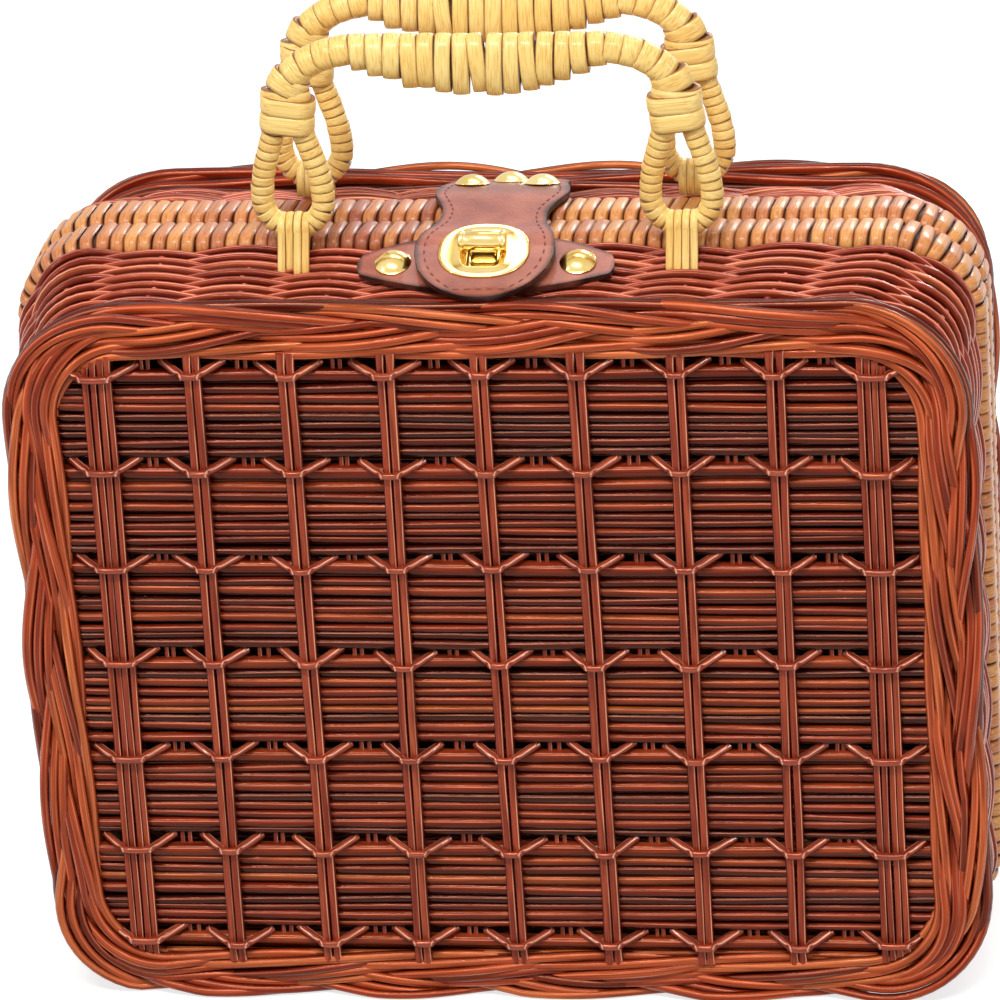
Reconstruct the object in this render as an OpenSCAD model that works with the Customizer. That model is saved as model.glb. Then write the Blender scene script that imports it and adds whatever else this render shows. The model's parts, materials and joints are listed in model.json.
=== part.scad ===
// Basket box bag: two woven trays hinged along the bottom, with cane-bound rims,
// two cane-wrapped handles and a leather hasp with a brass turn lock.
// Millimetres, +Z up, the front face looks along -Y, the parting plane is Y = 0.

/* [Body] */
// Width over the rims
body_w = 260; // [220:1:320]
// Height of the rims above the table
body_h = 211; // [180:1:260]
// Depth of one tray, from its face to the parting plane
half_d = 52; // [48:1:70]
// Gap between the two rims when shut
part_gap = 0.4; // [0.3:0.1:1]
// Height of the rims' underside above the table
rim_lift = 2.8; // [2.6:0.1:6]

/* [Rims] */
// Depth of one bound rim along Y
rim_d = 14.4; // [13:0.1:16]
// Thickness of a bound rim
rim_t = 7.6; // [7:0.1:9]
// Outside corner radius of the rims
rim_corner_r = 26; // [20:1:40]
// Depth of the hoop inside the binding
hoop_d = 10; // [8:0.1:10.4]
// Thickness of the hoop inside the binding
hoop_t = 4.6; // [3.5:0.1:5]
// Spacing of the cane turns along a rim
turn_pitch = 6.5; // [4:0.1:8]
// Open joint between two cane turns
turn_gap = 0.7; // [0.3:0.1:1.2]

/* [Border] */
// Radius of the plaited border round a face
border_r = 7.4; // [6:0.1:8]
// How far the border lies inside the rims at the sides
border_inset = 2; // [1:0.1:5]
// How far the border's top lies below the rims' top
border_drop = 5.6; // [3:0.1:8]
// Outside corner radius of the border
border_corner_r = 33; // [26:1:45]
// Full twists of the plait round one border
border_turns = 7; // [4:1:9]
// Depth of the worn flat that the border stands on
rest_flat = 1.4; // [1:0.1:2]

/* [Walls] */
// Thickness of the woven wall
wall_t = 4; // [3:0.1:5]
// Height of the weave's waves to either side
wave = 0.9; // [0.4:0.1:1.2]
// Waves round the wall
wave_n = 18; // [12:1:22]
// Rows of weave in one wall
wall_rows = 8; // [6:1:9]
// How far the wall starts outside the border's middle line
wall_out = 3; // [1:0.1:4]

/* [Panels] */
// Thickness of the rod panel without its ridges
panel_t = 2.4; // [1.5:0.1:3]
// Height of a rod's ridge on the panel
ridge = 1.2; // [0.6:0.1:1.4]
// Rods in one bay of the panel
bay_rods = 10; // [8:1:11]
// Bays between the twined rows
bay_n = 6; // [5:1:6]
// Diameter of a stake rod
stake_d = 2.9; // [2.4:0.1:3.2]
// Columns of stakes
stake_n = 9; // [7:2:9]
// Spacing of the stake columns
stake_pitch = 25.6; // [22:0.1:26]
// Rods in an inner column
column_rods = 2; // [2:1:3]
// Rods in an outer column
edge_rods = 4; // [3:1:4]
// Thickness of the twining strand
twine_d = 1.5; // [1.2:0.1:1.8]
// Width of an open gap in the panel
gap_w = 5; // [3:0.1:7]
// Height of an open gap in the panel
gap_h = 2.6; // [1.5:0.1:3.5]

/* [Handles] */
// Distance between the two loops of a handle
handle_span = 103; // [90:1:120]
// Height of a handle's bar above its pivots
handle_h = 54.7; // [50:0.1:70]
// Diameter of the wrapped strand of a loop
strand_d = 6.2; // [5.5:0.1:6.6]
// Width of a loop over its strands
loop_w = 22.5; // [22:0.1:24]
// Thickness of the grip from front to back
grip_t = 9.6; // [8:0.1:11]
// Height of the bar beside the grip
bar_h = 8.8; // [8.4:0.1:10]
// Height of the grip at its belly
belly_h = 17; // [12:0.5:20]
// Width of the cane collar above a loop
collar_w = 15; // [14.6:0.1:17]
// Height of the cane collar above a loop
collar_h = 9; // [7:0.1:10]
// Width of the tie that holds a loop
tie_w = 8.4; // [6:0.1:8.6]
// Thickness of a cane tie
tie_t = 1.4; // [1:0.1:1.6]

/* [Clasp] */
// Length of the leather wing plate
wing_l = 68; // [60:1:76]
// Width of the leather wing plate
wing_w = 22.6; // [20:0.1:23]
// Thickness of the leather
leather_t = 1.8; // [1.4:0.1:2.2]
// Distance between the wing plate's rivets
wing_rivet_span = 49; // [44:1:54]
// Diameter of a rivet's dome
rivet_d = 9.8; // [8:0.1:10.4]
// Height of a rivet's dome
rivet_h = 2.6; // [2:0.1:3.2]
// Diameter of a rivet's shank
shank_d = 3; // [2.4:0.1:3.4]
// Width of the hasp's round tongue
tongue_w = 37; // [34:0.5:40]
// Width of the hasp's neck
neck_w = 28; // [24:0.5:32]
// Width of the hasp's base on the back tray
base_w = 36; // [34:0.5:40]
// Distance between the hasp's side rivets
hasp_rivet_span = 19; // [16:0.5:20]
// Width of the brass eyelet plate
eyelet_w = 24; // [22:0.5:26]
// Length of the brass eyelet plate along the hasp
eyelet_l = 21; // [20:0.5:23]
// Thickness of the brass plates
brass_t = 1; // [0.8:0.1:1.4]
// Width of the slot in the hasp
slot_w = 9.5; // [8:0.1:10.5]
// Length of the slot in the hasp
slot_l = 14; // [13:0.1:15]
// Length of the turn lock's bar
lock_bar_l = 12.6; // [11:0.1:12.8]
// Width of the turn lock's bar
lock_bar_w = 5.6; // [4.5:0.1:6]
// Diameter of the turn lock's post
lock_post_d = 4; // [3:0.1:4.4]

/* [Hinge] */
// Distance between the two cane hinge ties
hinge_span = 140; // [110:1:160]
// Width of a hinge tie
hinge_w = 8; // [6:0.1:10]

/* [Hidden] */
$fn = 48;

wicker_colour = "#8a3a20";
border_colour = "#a04a28";
cane_colour = "#e0a864";
handle_colour = "#ecc878";
leather_colour = "#8c4a3c";
brass_colour = "#e0b848";

// Clearances: an overrun for cuts, a running fit and the gap that seated pieces keep
over = 1;
fit = 0.05;
seat = 0.3;

// Rims: middle lines of the bound hoops
rim_y = part_gap / 2 + rim_d / 2;
rim_line_w = body_w - rim_t;
rim_low = rim_lift + rim_t / 2;
rim_high = body_h - rim_t / 2;
rim_line_r = rim_corner_r - rim_t / 2;

// Border: middle line of the plait
border_y = half_d - border_r;
border_line_w = body_w - 2 * (border_inset + border_r);
border_low = border_r - rest_flat;
border_high = body_h - border_drop - border_r;
border_line_r = border_corner_r - border_r;
border_rings = border_turns * 12;
lobe_points = 12;
lobe_dip_share = 0.34;

// Wall: from the border's back to the rim
wall_y0 = border_y - border_r - seat;
wall_y1 = part_gap / 2 + rim_d + seat;
wall_d = wall_y0 - wall_y1;
row_d = wall_d / wall_rows;
wall_high0 = border_high + wall_out;
wall_low0 = rim_low;
wall_w0 = border_line_w + 2 * wall_out;
wall_r0 = border_line_r + wall_out;
wall_points = 4 * wave_n;

// Panel: inside the border's inner edge
panel_w = border_line_w - 2 * (border_r + seat);
panel_low = border_low + border_r + seat;
panel_high = border_high - border_r - seat;
panel_h = panel_high - panel_low;
panel_r = border_line_r - border_r - seat;
panel_y = border_y + panel_t / 2 - ridge;
panel_face = panel_y + panel_t / 2;
ridge_face = panel_face + ridge;
bay_h = panel_h / bay_n;
rod_pitch = bay_h / bay_rods;
rod_shares = [0.12, 0.3, 0.5, 0.7, 0.88];
rod_gap = 0.2;
stake_y = ridge_face + fit + stake_d / 2;
twine_face = stake_y + stake_d / 2 + fit;
wing_run = 6;
wing_rise = 3.2;
twine_h = 2.4;
edge_w = edge_rods * (stake_d + rod_gap) - rod_gap;
column_margin = edge_w / 2 + fit + twine_d + seat;
column_n = min(stake_n, 2 * floor((panel_w / 2 - column_margin) / stake_pitch) + 1);

// Clasp frame: a plane that lies on the sloping top wall
wall_top0 = wall_high0 + wall_t / 2 + wave;
wall_top1 = rim_high + wall_t / 2 + wave;
slope = atan((wall_top1 - wall_top0) / (wall_d - row_d));
clasp_y = (wall_y0 + wall_y1) / 2 + row_d / 4;
clasp_share = (wall_y0 - row_d / 2 - clasp_y) / (wall_d - row_d);
step_rise = row_d / 2 * tan(slope);
clasp_z = wall_top0 + (wall_top1 - wall_top0) * clasp_share + step_rise + seat / 2;
wall_through = wall_t + 2 * wave + 2 * step_rise + seat;

// Handle pivots in the clasp frame, then in the bag's own frame
tie_r = strand_d / 2 + fit + tie_t;
tie_run = wing_w / 2 - fit;
handle_y = clasp_y - tie_run * cos(slope) + tie_r * sin(slope);
handle_z = clasp_z + tie_run * sin(slope) + tie_r * cos(slope);
handle_x = handle_span / 2;
tie_foot = 2.6;
loop_bend_r = strand_d / 2 + seat;
loop_straight = loop_w / 2 - strand_d / 2 - loop_bend_r;
stem_w = 2 * strand_d + 2 * seat;
stem_t = strand_d + 2 * seat;
stem_low = 28;
stem_h = collar_h + 2 * seat;
leg_top = [strand_d / 2 + fit, stem_low + strand_d / 5];
leg_way = leg_top - [loop_straight, loop_bend_r];
leg_l = sqrt(leg_way * leg_way - loop_bend_r * loop_bend_r);
leg_lean = atan2(leg_way[1], leg_way[0]) - acos(loop_bend_r / norm(leg_way));
bar_z = handle_h - bar_h / 2;
bend_r = bar_z - stem_low - stem_h - seat;
grip_turns = 17;
grip_l = handle_span - 2 * bend_r;
grip_turn = grip_l / grip_turns;
grip_flat_share = 0.22;
bar_t_share = 0.88;
turn_step = 0.25;
bend_d = 8;

// Clasp stack, measured up from the clasp frame
lock_base_d = 15;
hasp_rise = leather_t + 2 * brass_t;
eyelet_rise = hasp_rise + leather_t;
lock_bar_rise = eyelet_rise + 2 * brass_t;
lock_bar_h = 4.4;
eyelet_lip = 1.6;
tongue_run = 18.5;
tongue_bend = 6.5;
strap_clear = 0.8;
neck_top = body_h + strap_clear;
base_l = 17;
base_corner_r = 6;
rivet_clear = 0.6;
hasp_rivet_run = wall_d / 2 - rivet_d / 2 - rivet_clear;
hasp_step_share = 0.364;
hasp_rivet_step = hasp_step_share * wall_d;
burr_d = 7;
burr_t = 0.8;
wing_end_r = 7.2;
wing_end_x = wing_l / 2 - wing_end_r;
lens_over = 6;
lens_half = wing_l / 2 + lens_over;
lens_r = (lens_half * lens_half + wing_w * wing_w / 4) / wing_w;

// Hinge: the back hoop turns in the ties' eyes
hinge_bore_r = hoop_d / 2 + fit;
hinge_eye_t = 1.2;
hinge_eye_r = hinge_bore_r + hinge_eye_t;
hinge_web_h = 3;
hinge_slack = 0.5;
hinge_break = hinge_w + 2 * hinge_slack;

// Point at length s round a rounded rectangle centred on the origin: [x, z, outward angle]
function side_len(k, w, h, r) = (k % 2 == 0 ? w : h) - 2 * r;
function turned(p, k) = [p[0] * cos(90 * k) - p[1] * sin(90 * k), p[0] * sin(90 * k) + p[1] * cos(90 * k)];
function loop_len(w, h, r) = 2 * (w + h) - 8 * r + 2 * PI * r;
function loop_at(s, w, h, r, k = 0) =
    let(run = side_len(k, w, h, r), out = (k % 2 == 0 ? h : w) / 2, bend = PI * r / 2)
    s <= run || k > 3 ? concat(turned([s - run / 2, -out], k), [90 * k - 90]) :
    s <= run + bend ? let(t = 90 * (s - run) / bend)
        concat(turned([run / 2 + r * sin(t), r - out - r * cos(t)], k), [90 * k - 90 + t]) :
    loop_at(s - run - bend, w, h, r, k + 1);

function mix(a, b, t) = a + (b - a) * t;

// Back tray: the front tray's pieces mirrored through the parting plane
module back() {
    mirror([0, 1, 0]) children();
}

module both_sides(x) {
    for (side = [-1, 1])
        translate([side * x, 0, 0]) children();
}

// Outline of a rounded rectangle in plan, drawn with true arcs
module rounded_rect(w, h, r) {
    square([w - 2 * r, h], center = true);
    square([w, h - 2 * r], center = true);
    for (x = [-1, 1], y = [-1, 1])
        translate([x * (w / 2 - r), y * (h / 2 - r)]) circle(r = r);
}

// Long round-ended section, l along the first axis and t across
module stadium(l, t) {
    square([l - t, t], center = true);
    for (side = [-1, 1])
        translate([side * (l - t) / 2, 0]) circle(d = t);
}

// Turns an extrusion along Z so that it runs along X, with its first axis along Y
module along_x(l) {
    rotate([90, 0, 90]) linear_extrude(height = l, center = true) children();
}

// Straight run of a rim on side k, from start to start + l along that side
module rim_side(k, start, l) {
    out = (k % 2 == 0 ? rim_high - rim_low : rim_line_w) / 2;
    translate([0, -rim_y, (rim_low + rim_high) / 2])
        rotate([0, -90 * k, 0]) translate([start + l / 2, 0, -out])
            along_x(l) children();
}

// Bend of a rim after side k, between two angles
module rim_bend(k, from, to) {
    run = side_len(k, rim_line_w, rim_high - rim_low, rim_line_r);
    out = (k % 2 == 0 ? rim_high - rim_low : rim_line_w) / 2;
    translate([0, -rim_y, (rim_low + rim_high) / 2])
        rotate([0, -90 * k, 0]) translate([run / 2, 0, rim_line_r - out])
            rotate([90, 0, 0]) rotate([0, 0, from - 90]) rotate_extrude(angle = to - from)
                translate([rim_line_r, 0]) rotate(90) children();
}

module rim_hoop() {
    for (k = [0 : 3]) {
        run = side_len(k, rim_line_w, rim_high - rim_low, rim_line_r);
        rim_side(k, -run / 2, run) stadium(hoop_d, hoop_t);
        rim_bend(k, 0, 90) stadium(hoop_d, hoop_t);
    }
}

module turn_section() {
    difference() {
        stadium(rim_d, rim_t);
        stadium(hoop_d, hoop_t);
    }
}

// Cane turns round a rim, left open where the hinge ties hold the hoop
module rim_binding() {
    for (k = [0 : 3]) {
        run = side_len(k, rim_line_w, rim_high - rim_low, rim_line_r);
        turns = round(run / turn_pitch);
        step = run / turns;
        for (i = [0 : turns - 1]) {
            start = -run / 2 + i * step + turn_gap / 2;
            middle = start + (step - turn_gap) / 2;
            reach = (step + hinge_break) / 2;
            if (k != 0 || abs(abs(middle) - hinge_span / 2) > reach)
                rim_side(k, start, step - turn_gap) turn_section();
        }
        bend_turns = round(PI * (rim_line_r + rim_t / 2) / 2 / turn_pitch);
        turn_angle = 90 / bend_turns;
        gap_angle = turn_gap / rim_line_r * 180 / PI;
        for (i = [0 : bend_turns - 1])
            rim_bend(k, i * turn_angle + gap_angle / 2, (i + 1) * turn_angle - gap_angle / 2) turn_section();
    }
}

// Three-lobed plait swept round the face's edge, worn flat underneath
module border() {
    h = border_high - border_low;
    middle = (border_high + border_low) / 2;
    len = loop_len(border_line_w, h, border_line_r);
    points = [
        for (i = [0 : border_rings - 1], j = [0 : lobe_points - 1])
            let(p = loop_at(len * i / border_rings, border_line_w, h, border_line_r),
                lobe = 360 * j / lobe_points,
                turn = lobe + 360 * border_turns * i / border_rings,
                r = border_r * (1 - lobe_dip_share + lobe_dip_share * abs(cos(1.5 * lobe))))
            [p[0] + cos(p[2]) * r * cos(turn), r * sin(turn) - border_y,
             p[1] + middle + sin(p[2]) * r * cos(turn)]
    ];
    faces = [
        for (i = [0 : border_rings - 1], j = [0 : lobe_points - 1])
            let(a = i * lobe_points, b = (i + 1) % border_rings * lobe_points, n = (j + 1) % lobe_points)
            each [[a + j, a + n, b + n], [a + j, b + n, b + j]]
    ];
    difference() {
        polyhedron(points, faces);
        translate([0, -border_y, -border_r]) cube([body_w, 4 * border_r, 2 * border_r], center = true);
    }
}

// One row of weave: a ring that waves in and out, in step or out of step
module wall_row(i) {
    t = (i + 1 / 2) / wall_rows;
    high = mix(wall_high0, rim_high, t);
    low = mix(wall_low0, rim_low, t);
    w = mix(wall_w0, rim_line_w, t);
    r = mix(wall_r0, rim_line_r, t);
    len = loop_len(w, high - low, r);
    function ring(out) = [
        for (n = [0 : wall_points - 1])
            let(p = loop_at(len * n / wall_points, w, high - low, r),
                push = out + wave * cos(90 * n + 180 * i))
            [p[0] + cos(p[2]) * push, p[1] + sin(p[2]) * push]
    ];
    translate([0, i * row_d - wall_y0, (low + high) / 2])
        rotate([90, 0, 0]) translate([0, 0, -row_d]) linear_extrude(height = row_d)
            difference() {
                polygon(ring(wall_t / 2));
                polygon(ring(-wall_t / 2));
            }
}

module wall(rivets) {
    difference() {
        for (i = [0 : wall_rows - 1])
            wall_row(i);
        clasp_frame() for (p = rivets)
            translate([p[0], p[1], -wall_through - over])
                cylinder(d = shank_d + 2 * fit, h = wall_through + 2 * over);
    }
}

// Rod panel: ridges across, small open gaps at the twined rows
module panel() {
    rods = bay_n * bay_rods;
    ridges = [
        for (i = [-1 : rods], s = rod_shares)
            [-panel_face - ridge * sin(180 * s), panel_low + (i + s) * rod_pitch]
    ];
    inner = -panel_y + panel_t / 2;
    back_line = [[inner, panel_high + rod_pitch], [inner, panel_low - rod_pitch]];
    difference() {
        intersection() {
            along_x(panel_w) polygon(concat(ridges, back_line));
            translate([0, -border_y, (panel_low + panel_high) / 2]) rotate([90, 0, 0])
                linear_extrude(height = 2 * border_r, center = true) rounded_rect(panel_w, panel_h, panel_r);
        }
        for (row = [0 : bay_n], column = [0 : column_n - 2])
            translate([column_x(column) + stake_pitch / 2, -panel_y, twine_z(row)])
                cube([gap_w, 2 * border_r, gap_h], center = true);
    }
}

function twine_z(row) = mix(panel_low + bay_h / 8, panel_high - bay_h / 8, row / bay_n);
function column_x(i) = (i - (column_n - 1) / 2) * stake_pitch;
function column_count(i) = i == 0 || i == column_n - 1 ? edge_rods : column_rods;
function column_w(i) = column_count(i) * (stake_d + rod_gap) - rod_gap;
// How far the panel's round corner comes in at a distance x from the middle
function corner_drop(x) = let(in = x + panel_r - panel_w / 2)
    in > 0 ? panel_r - sqrt(panel_r * panel_r - in * in) : 0;
// Height of the lashing on a column, kept clear of the border's corners
function lash_z(i, row) =
    let(drop = corner_drop(abs(column_x(i)) + column_w(i) / 2 + fit + twine_d) + twine_h)
    max(panel_low + drop, min(panel_high - drop, twine_z(row)));

module panel_stakes() {
    for (i = [0 : column_n - 1], j = [0 : column_count(i) - 1]) {
        x = column_x(i) + (j - (column_count(i) - 1) / 2) * (stake_d + rod_gap);
        drop = corner_drop(abs(x) + stake_d / 2);
        translate([x, -stake_y, panel_low + drop])
            cylinder(d = stake_d, h = panel_h - 2 * drop);
    }
}

// Twining strand where it crosses a column: a staple over the rods, with wings to the sides named
module lashing(w, wings) {
    side = w / 2 + fit + twine_d;
    inside = side - twine_d;
    front = twine_face + twine_d;
    linear_extrude(height = twine_h, center = true)
        polygon([
            [-side, -ridge_face - fit], [-side, -twine_face], [-inside, -front], [inside, -front],
            [side, -twine_face], [side, -ridge_face - fit], [inside, -ridge_face - fit],
            [inside, -twine_face], [-inside, -twine_face], [-inside, -ridge_face - fit]
        ]);
    for (dir = wings)
        translate([dir * (side - twine_d / 2), -ridge_face - twine_d, 0])
            rotate([0, dir * atan2(wing_run, wing_rise), 0])
                cylinder(d = twine_d, h = norm([wing_run, wing_rise]), $fn = 5);
}

module panel_twining() {
    for (row = [0 : bay_n], i = [0 : column_n - 1])
        translate([column_x(i), 0, lash_z(i, row)])
            lashing(column_w(i), i == 0 ? [1] : i == column_n - 1 ? [-1] : [-1, 1]);
}

// Local frame of the clasp: x across, y up the slope to the rim, z out of the wall
module clasp_frame() {
    translate([0, -clasp_y, clasp_z]) rotate([slope, 0, 0]) children();
}

module handle_ties() {
    both_sides(handle_x) clasp_frame() difference() {
        union() {
            translate([0, tie_run, tie_r]) rotate([0, 90, 0]) cylinder(r = tie_r, h = tie_w, center = true);
            translate([-tie_w / 2, tie_run - tie_r - tie_foot, 0]) cube([tie_w, tie_r + tie_foot, tie_foot]);
        }
        translate([0, tie_run, tie_r]) rotate([0, 90, 0])
            cylinder(d = strand_d + 2 * fit, h = tie_w + 2 * over, center = true);
    }
}

// Rivet places in the clasp frame, on the wing plate and on the hasp's base
wing_spots = [[-wing_rivet_span / 2, 0], [wing_rivet_span / 2, 0]];
hasp_spots = [
    [-hasp_rivet_span / 2, hasp_rivet_run], [hasp_rivet_span / 2, hasp_rivet_run],
    [0, hasp_rivet_run - hasp_rivet_step]
];

// Leather wings with round ends, laid on the front tray's top
module wing_plate() {
    color(leather_colour) clasp_frame() difference() {
        linear_extrude(height = leather_t) {
            intersection() {
                translate([0, lens_r - wing_w / 2]) circle(r = lens_r, $fn = 96);
                translate([0, wing_w / 2 - lens_r]) circle(r = lens_r, $fn = 96);
                square([2 * wing_end_x, wing_w + over], center = true);
            }
            for (side = [-1, 1])
                translate([side * wing_end_x, 0]) circle(r = wing_end_r);
        }
        for (p = wing_spots)
            translate([p[0], p[1], -over]) cylinder(d = shank_d + 2 * fit, h = leather_t + 2 * over);
        translate([0, 0, -over]) cylinder(d = lock_post_d + 2 * fit, h = leather_t + 2 * over);
    }
}

// Domed rivet: head on the leather, shank through the wall
module rivet() {
    dome_r = (rivet_d * rivet_d / 4 + rivet_h * rivet_h) / (2 * rivet_h);
    intersection() {
        translate([0, 0, rivet_h - dome_r]) sphere(r = dome_r, $fn = 64);
        cylinder(d = rivet_d, h = rivet_h);
    }
    tail = leather_t + wall_through + burr_t;
    translate([0, 0, -tail]) cylinder(d = shank_d, h = tail + rivet_h / 2);
}

module rivets(spots) {
    clasp_frame() for (p = spots)
        translate([p[0], p[1], leather_t]) rivet();
}

module burrs(spots) {
    clasp_frame() for (p = spots)
        translate([p[0], p[1], -wall_through - burr_t]) difference() {
            cylinder(d = burr_d, h = burr_t);
            translate([0, 0, -over]) cylinder(d = shank_d + 2 * fit, h = burr_t + 2 * over);
        }
}

module lock_base() {
    color(brass_colour) clasp_frame() translate([0, 0, leather_t]) difference() {
        union() {
            cylinder(d = lock_base_d, h = brass_t);
            cylinder(d = lock_post_d + 4 * brass_t, h = 2 * brass_t - seat);
        }
        translate([0, 0, -over]) cylinder(d = lock_post_d + 2 * fit, h = 3 * brass_t + 2 * over);
    }
}

// Post with a crossbar that stands over the eyelet plate and turns to pass its slot
module lock_knob() {
    color(brass_colour) clasp_frame() {
        cylinder(d = lock_post_d, h = lock_bar_rise + lock_bar_h / 2);
        translate([0, 0, lock_bar_rise]) intersection() {
            translate([-lock_bar_l / 2, -lock_bar_w / 2, 0]) cube([lock_bar_l, lock_bar_w, lock_bar_h]);
            translate([0, 0, lock_bar_h - lock_bar_w / 2 - fit]) rotate([0, 90, 0]) union() {
                cylinder(d = lock_bar_w, h = lock_bar_l, center = true);
                translate([lock_bar_w / 2, 0, 0]) cube([lock_bar_w, lock_bar_w, lock_bar_l], center = true);
            }
        }
    }
}

// Points of the clasp frame seen in the bag's YZ plane, on the front or the back tray
function front_point(y, z) =
    [y * cos(slope) - z * sin(slope) - clasp_y, clasp_z + y * sin(slope) + z * cos(slope)];
function back_point(y, z) = let(p = front_point(y, z)) [-p[0], p[1]];

// Leather strap bent from the back tray's top, over both rims, to the front
module hasp_strap() {
    function under(z) = [
        front_point(-tongue_run, hasp_rise + z), front_point(tongue_bend, hasp_rise + z),
        [-rim_y - rim_d / 4, max(neck_top, front_point(tongue_bend, hasp_rise)[1]) + z],
        [rim_y, neck_top + z], back_point(base_l / 2 + z / 2, z), back_point(-base_l / 2, z)
    ];
    low = under(0);
    high = under(leather_t);
    color(leather_colour) difference() {
        intersection() {
            along_x(2 * base_w) polygon(concat(low, [for (i = [len(high) - 1 : -1 : 0]) high[i]]));
            linear_extrude(height = 2 * body_h) {
                translate([0, -clasp_y]) circle(d = tongue_w, $fn = 96);
                translate([-neck_w / 2, -clasp_y]) square([neck_w, 2 * clasp_y]);
                translate([0, clasp_y]) rounded_rect(base_w, base_l, base_corner_r);
            }
        }
        clasp_frame() translate([0, 0, hasp_rise + leather_t / 2])
            cube([slot_w, slot_l, 2 * leather_t], center = true);
        back() clasp_frame() for (p = hasp_spots)
            translate([p[0], p[1], -over]) cylinder(d = shank_d + 2 * fit, h = leather_t + 2 * over);
    }
}

// Oval brass plate with a raised lip round the slot
module hasp_eyelet() {
    color(brass_colour) clasp_frame() translate([0, 0, eyelet_rise]) difference() {
        union() {
            linear_extrude(height = brass_t / 2) stadium(eyelet_w, eyelet_l);
            linear_extrude(height = brass_t)
                rounded_rect(slot_w + 2 * eyelet_lip, slot_l + 2 * eyelet_lip, eyelet_lip);
        }
        translate([0, 0, brass_t / 2]) cube([slot_w, slot_l, 2 * brass_t], center = true);
    }
}

// Cane hinge ties: one eye grips the front hoop, the back hoop turns in the other
module hinge_ties() {
    color(cane_colour) both_sides(hinge_span / 2) difference() {
        union() {
            for (side = [-1, 1])
                translate([0, side * rim_y, rim_low]) rotate([0, 90, 0])
                    cylinder(r = hinge_eye_r, h = hinge_w, center = true);
            translate([0, 0, rim_low]) cube([hinge_w, 2 * rim_y, hinge_web_h], center = true);
        }
        translate([0, rim_y, rim_low]) rotate([0, 90, 0])
            cylinder(r = hinge_bore_r, h = hinge_w + 2 * over, center = true);
        translate([0, -rim_y, rim_low]) along_x(hinge_w + 2 * over) stadium(hoop_d, hoop_t);
    }
}

// Height of the grip's turn at a share of its length, flat at the top and bellied below
function grip_h(t) =
    let(e = abs(2 * t - 1), f = max(0, min(1, (1 - e) / (1 - grip_flat_share) - grip_flat_share)))
    mix(bar_h, belly_h, sin(90 * f));

// Teardrop loop: a straight foot in the tie, two bends and two legs that meet in the stem
module loop() {
    rotate([0, 90, 0]) cylinder(d = strand_d, h = 2 * loop_straight, center = true);
    for (side = [0, 1]) mirror([side, 0, 0]) translate([loop_straight, 0, loop_bend_r]) {
        rotate([90, 0, 0]) rotate([0, 0, -90]) rotate_extrude(angle = 90 + leg_lean)
            translate([loop_bend_r, 0]) circle(d = strand_d);
        rotate([0, -leg_lean, 0]) translate([loop_bend_r, 0, -seat])
            cylinder(d = strand_d - 4 * fit, h = leg_l + seat);
    }
    translate([0, 0, stem_low]) linear_extrude(height = stem_h) stadium(stem_w, stem_t);
}

// Wrapped handle in its own frame: pivots on the X axis, bar above
module handle_shape() {
    both_sides(handle_x) loop();
    for (side = [0, 1]) mirror([side, 0, 0]) {
        translate([handle_x, 0, stem_low + stem_h - seat / 2])
            cylinder(d = bend_d, h = seat / 2 + seat);
        translate([handle_x - bend_r, 0, bar_z - bend_r]) rotate([90, 0, 0])
            rotate_extrude(angle = 90) translate([bend_r, 0]) circle(d = bend_d);
    }
    for (i = [0 : grip_turns - 1]) {
        h = grip_h((i + 1 / 2) / grip_turns);
        inset = i % 2 * turn_step;
        translate([(i - (grip_turns - 1) / 2) * grip_turn, 0, handle_h - h / 2])
            along_x(grip_turn + 2 * fit) rotate(90)
                stadium(h - 2 * inset, min(bar_t_share * h, grip_t) - 2 * inset);
    }
}

module handle_place() {
    translate([0, -handle_y, handle_z]) children();
}

// Wide cane collars that close the loops' necks
module collars() {
    collar_t = stem_t + collar_w - stem_w;
    both_sides(handle_x) translate([0, 0, stem_low + (stem_h - collar_h) / 2])
        linear_extrude(height = collar_h) difference() {
            stadium(collar_w, collar_t);
            stadium(stem_w + 2 * fit, stem_t + 2 * fit);
        }
}

module front_panel() { color(wicker_colour) panel(); }
module front_panel_stakes() { color(wicker_colour) panel_stakes(); }
module front_panel_twining() { color(border_colour) panel_twining(); }
module front_border() { color(border_colour) border(); }
module front_wall() { color(wicker_colour) wall(wing_spots); }
module front_rim_hoop() { color(cane_colour) rim_hoop(); }
module front_rim_binding() { color(cane_colour) rim_binding(); }
module front_handle_ties() { color(handle_colour) handle_ties(); }
module wing_rivets() { color(brass_colour) rivets(wing_spots); }
module wing_rivet_burrs() { color(brass_colour) burrs(wing_spots); }
module back_panel() { color(wicker_colour) back() panel(); }
module back_panel_stakes() { color(wicker_colour) back() panel_stakes(); }
module back_panel_twining() { color(border_colour) back() panel_twining(); }
module back_border() { color(border_colour) back() border(); }
module back_wall() { color(wicker_colour) back() wall(hasp_spots); }
module back_rim_hoop() { color(cane_colour) back() rim_hoop(); }
module back_rim_binding() { color(cane_colour) back() rim_binding(); }
module back_handle_ties() { color(handle_colour) back() handle_ties(); }
module hasp_rivets() { color(brass_colour) back() rivets(hasp_spots); }
module hasp_rivet_burrs() { color(brass_colour) back() burrs(hasp_spots); }
module front_handle() { color(handle_colour) handle_place() handle_shape(); }
module front_handle_collars() { color(handle_colour) handle_place() collars(); }
module back_handle() { color(handle_colour) back() handle_place() handle_shape(); }
module back_handle_collars() { color(handle_colour) back() handle_place() collars(); }

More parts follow.
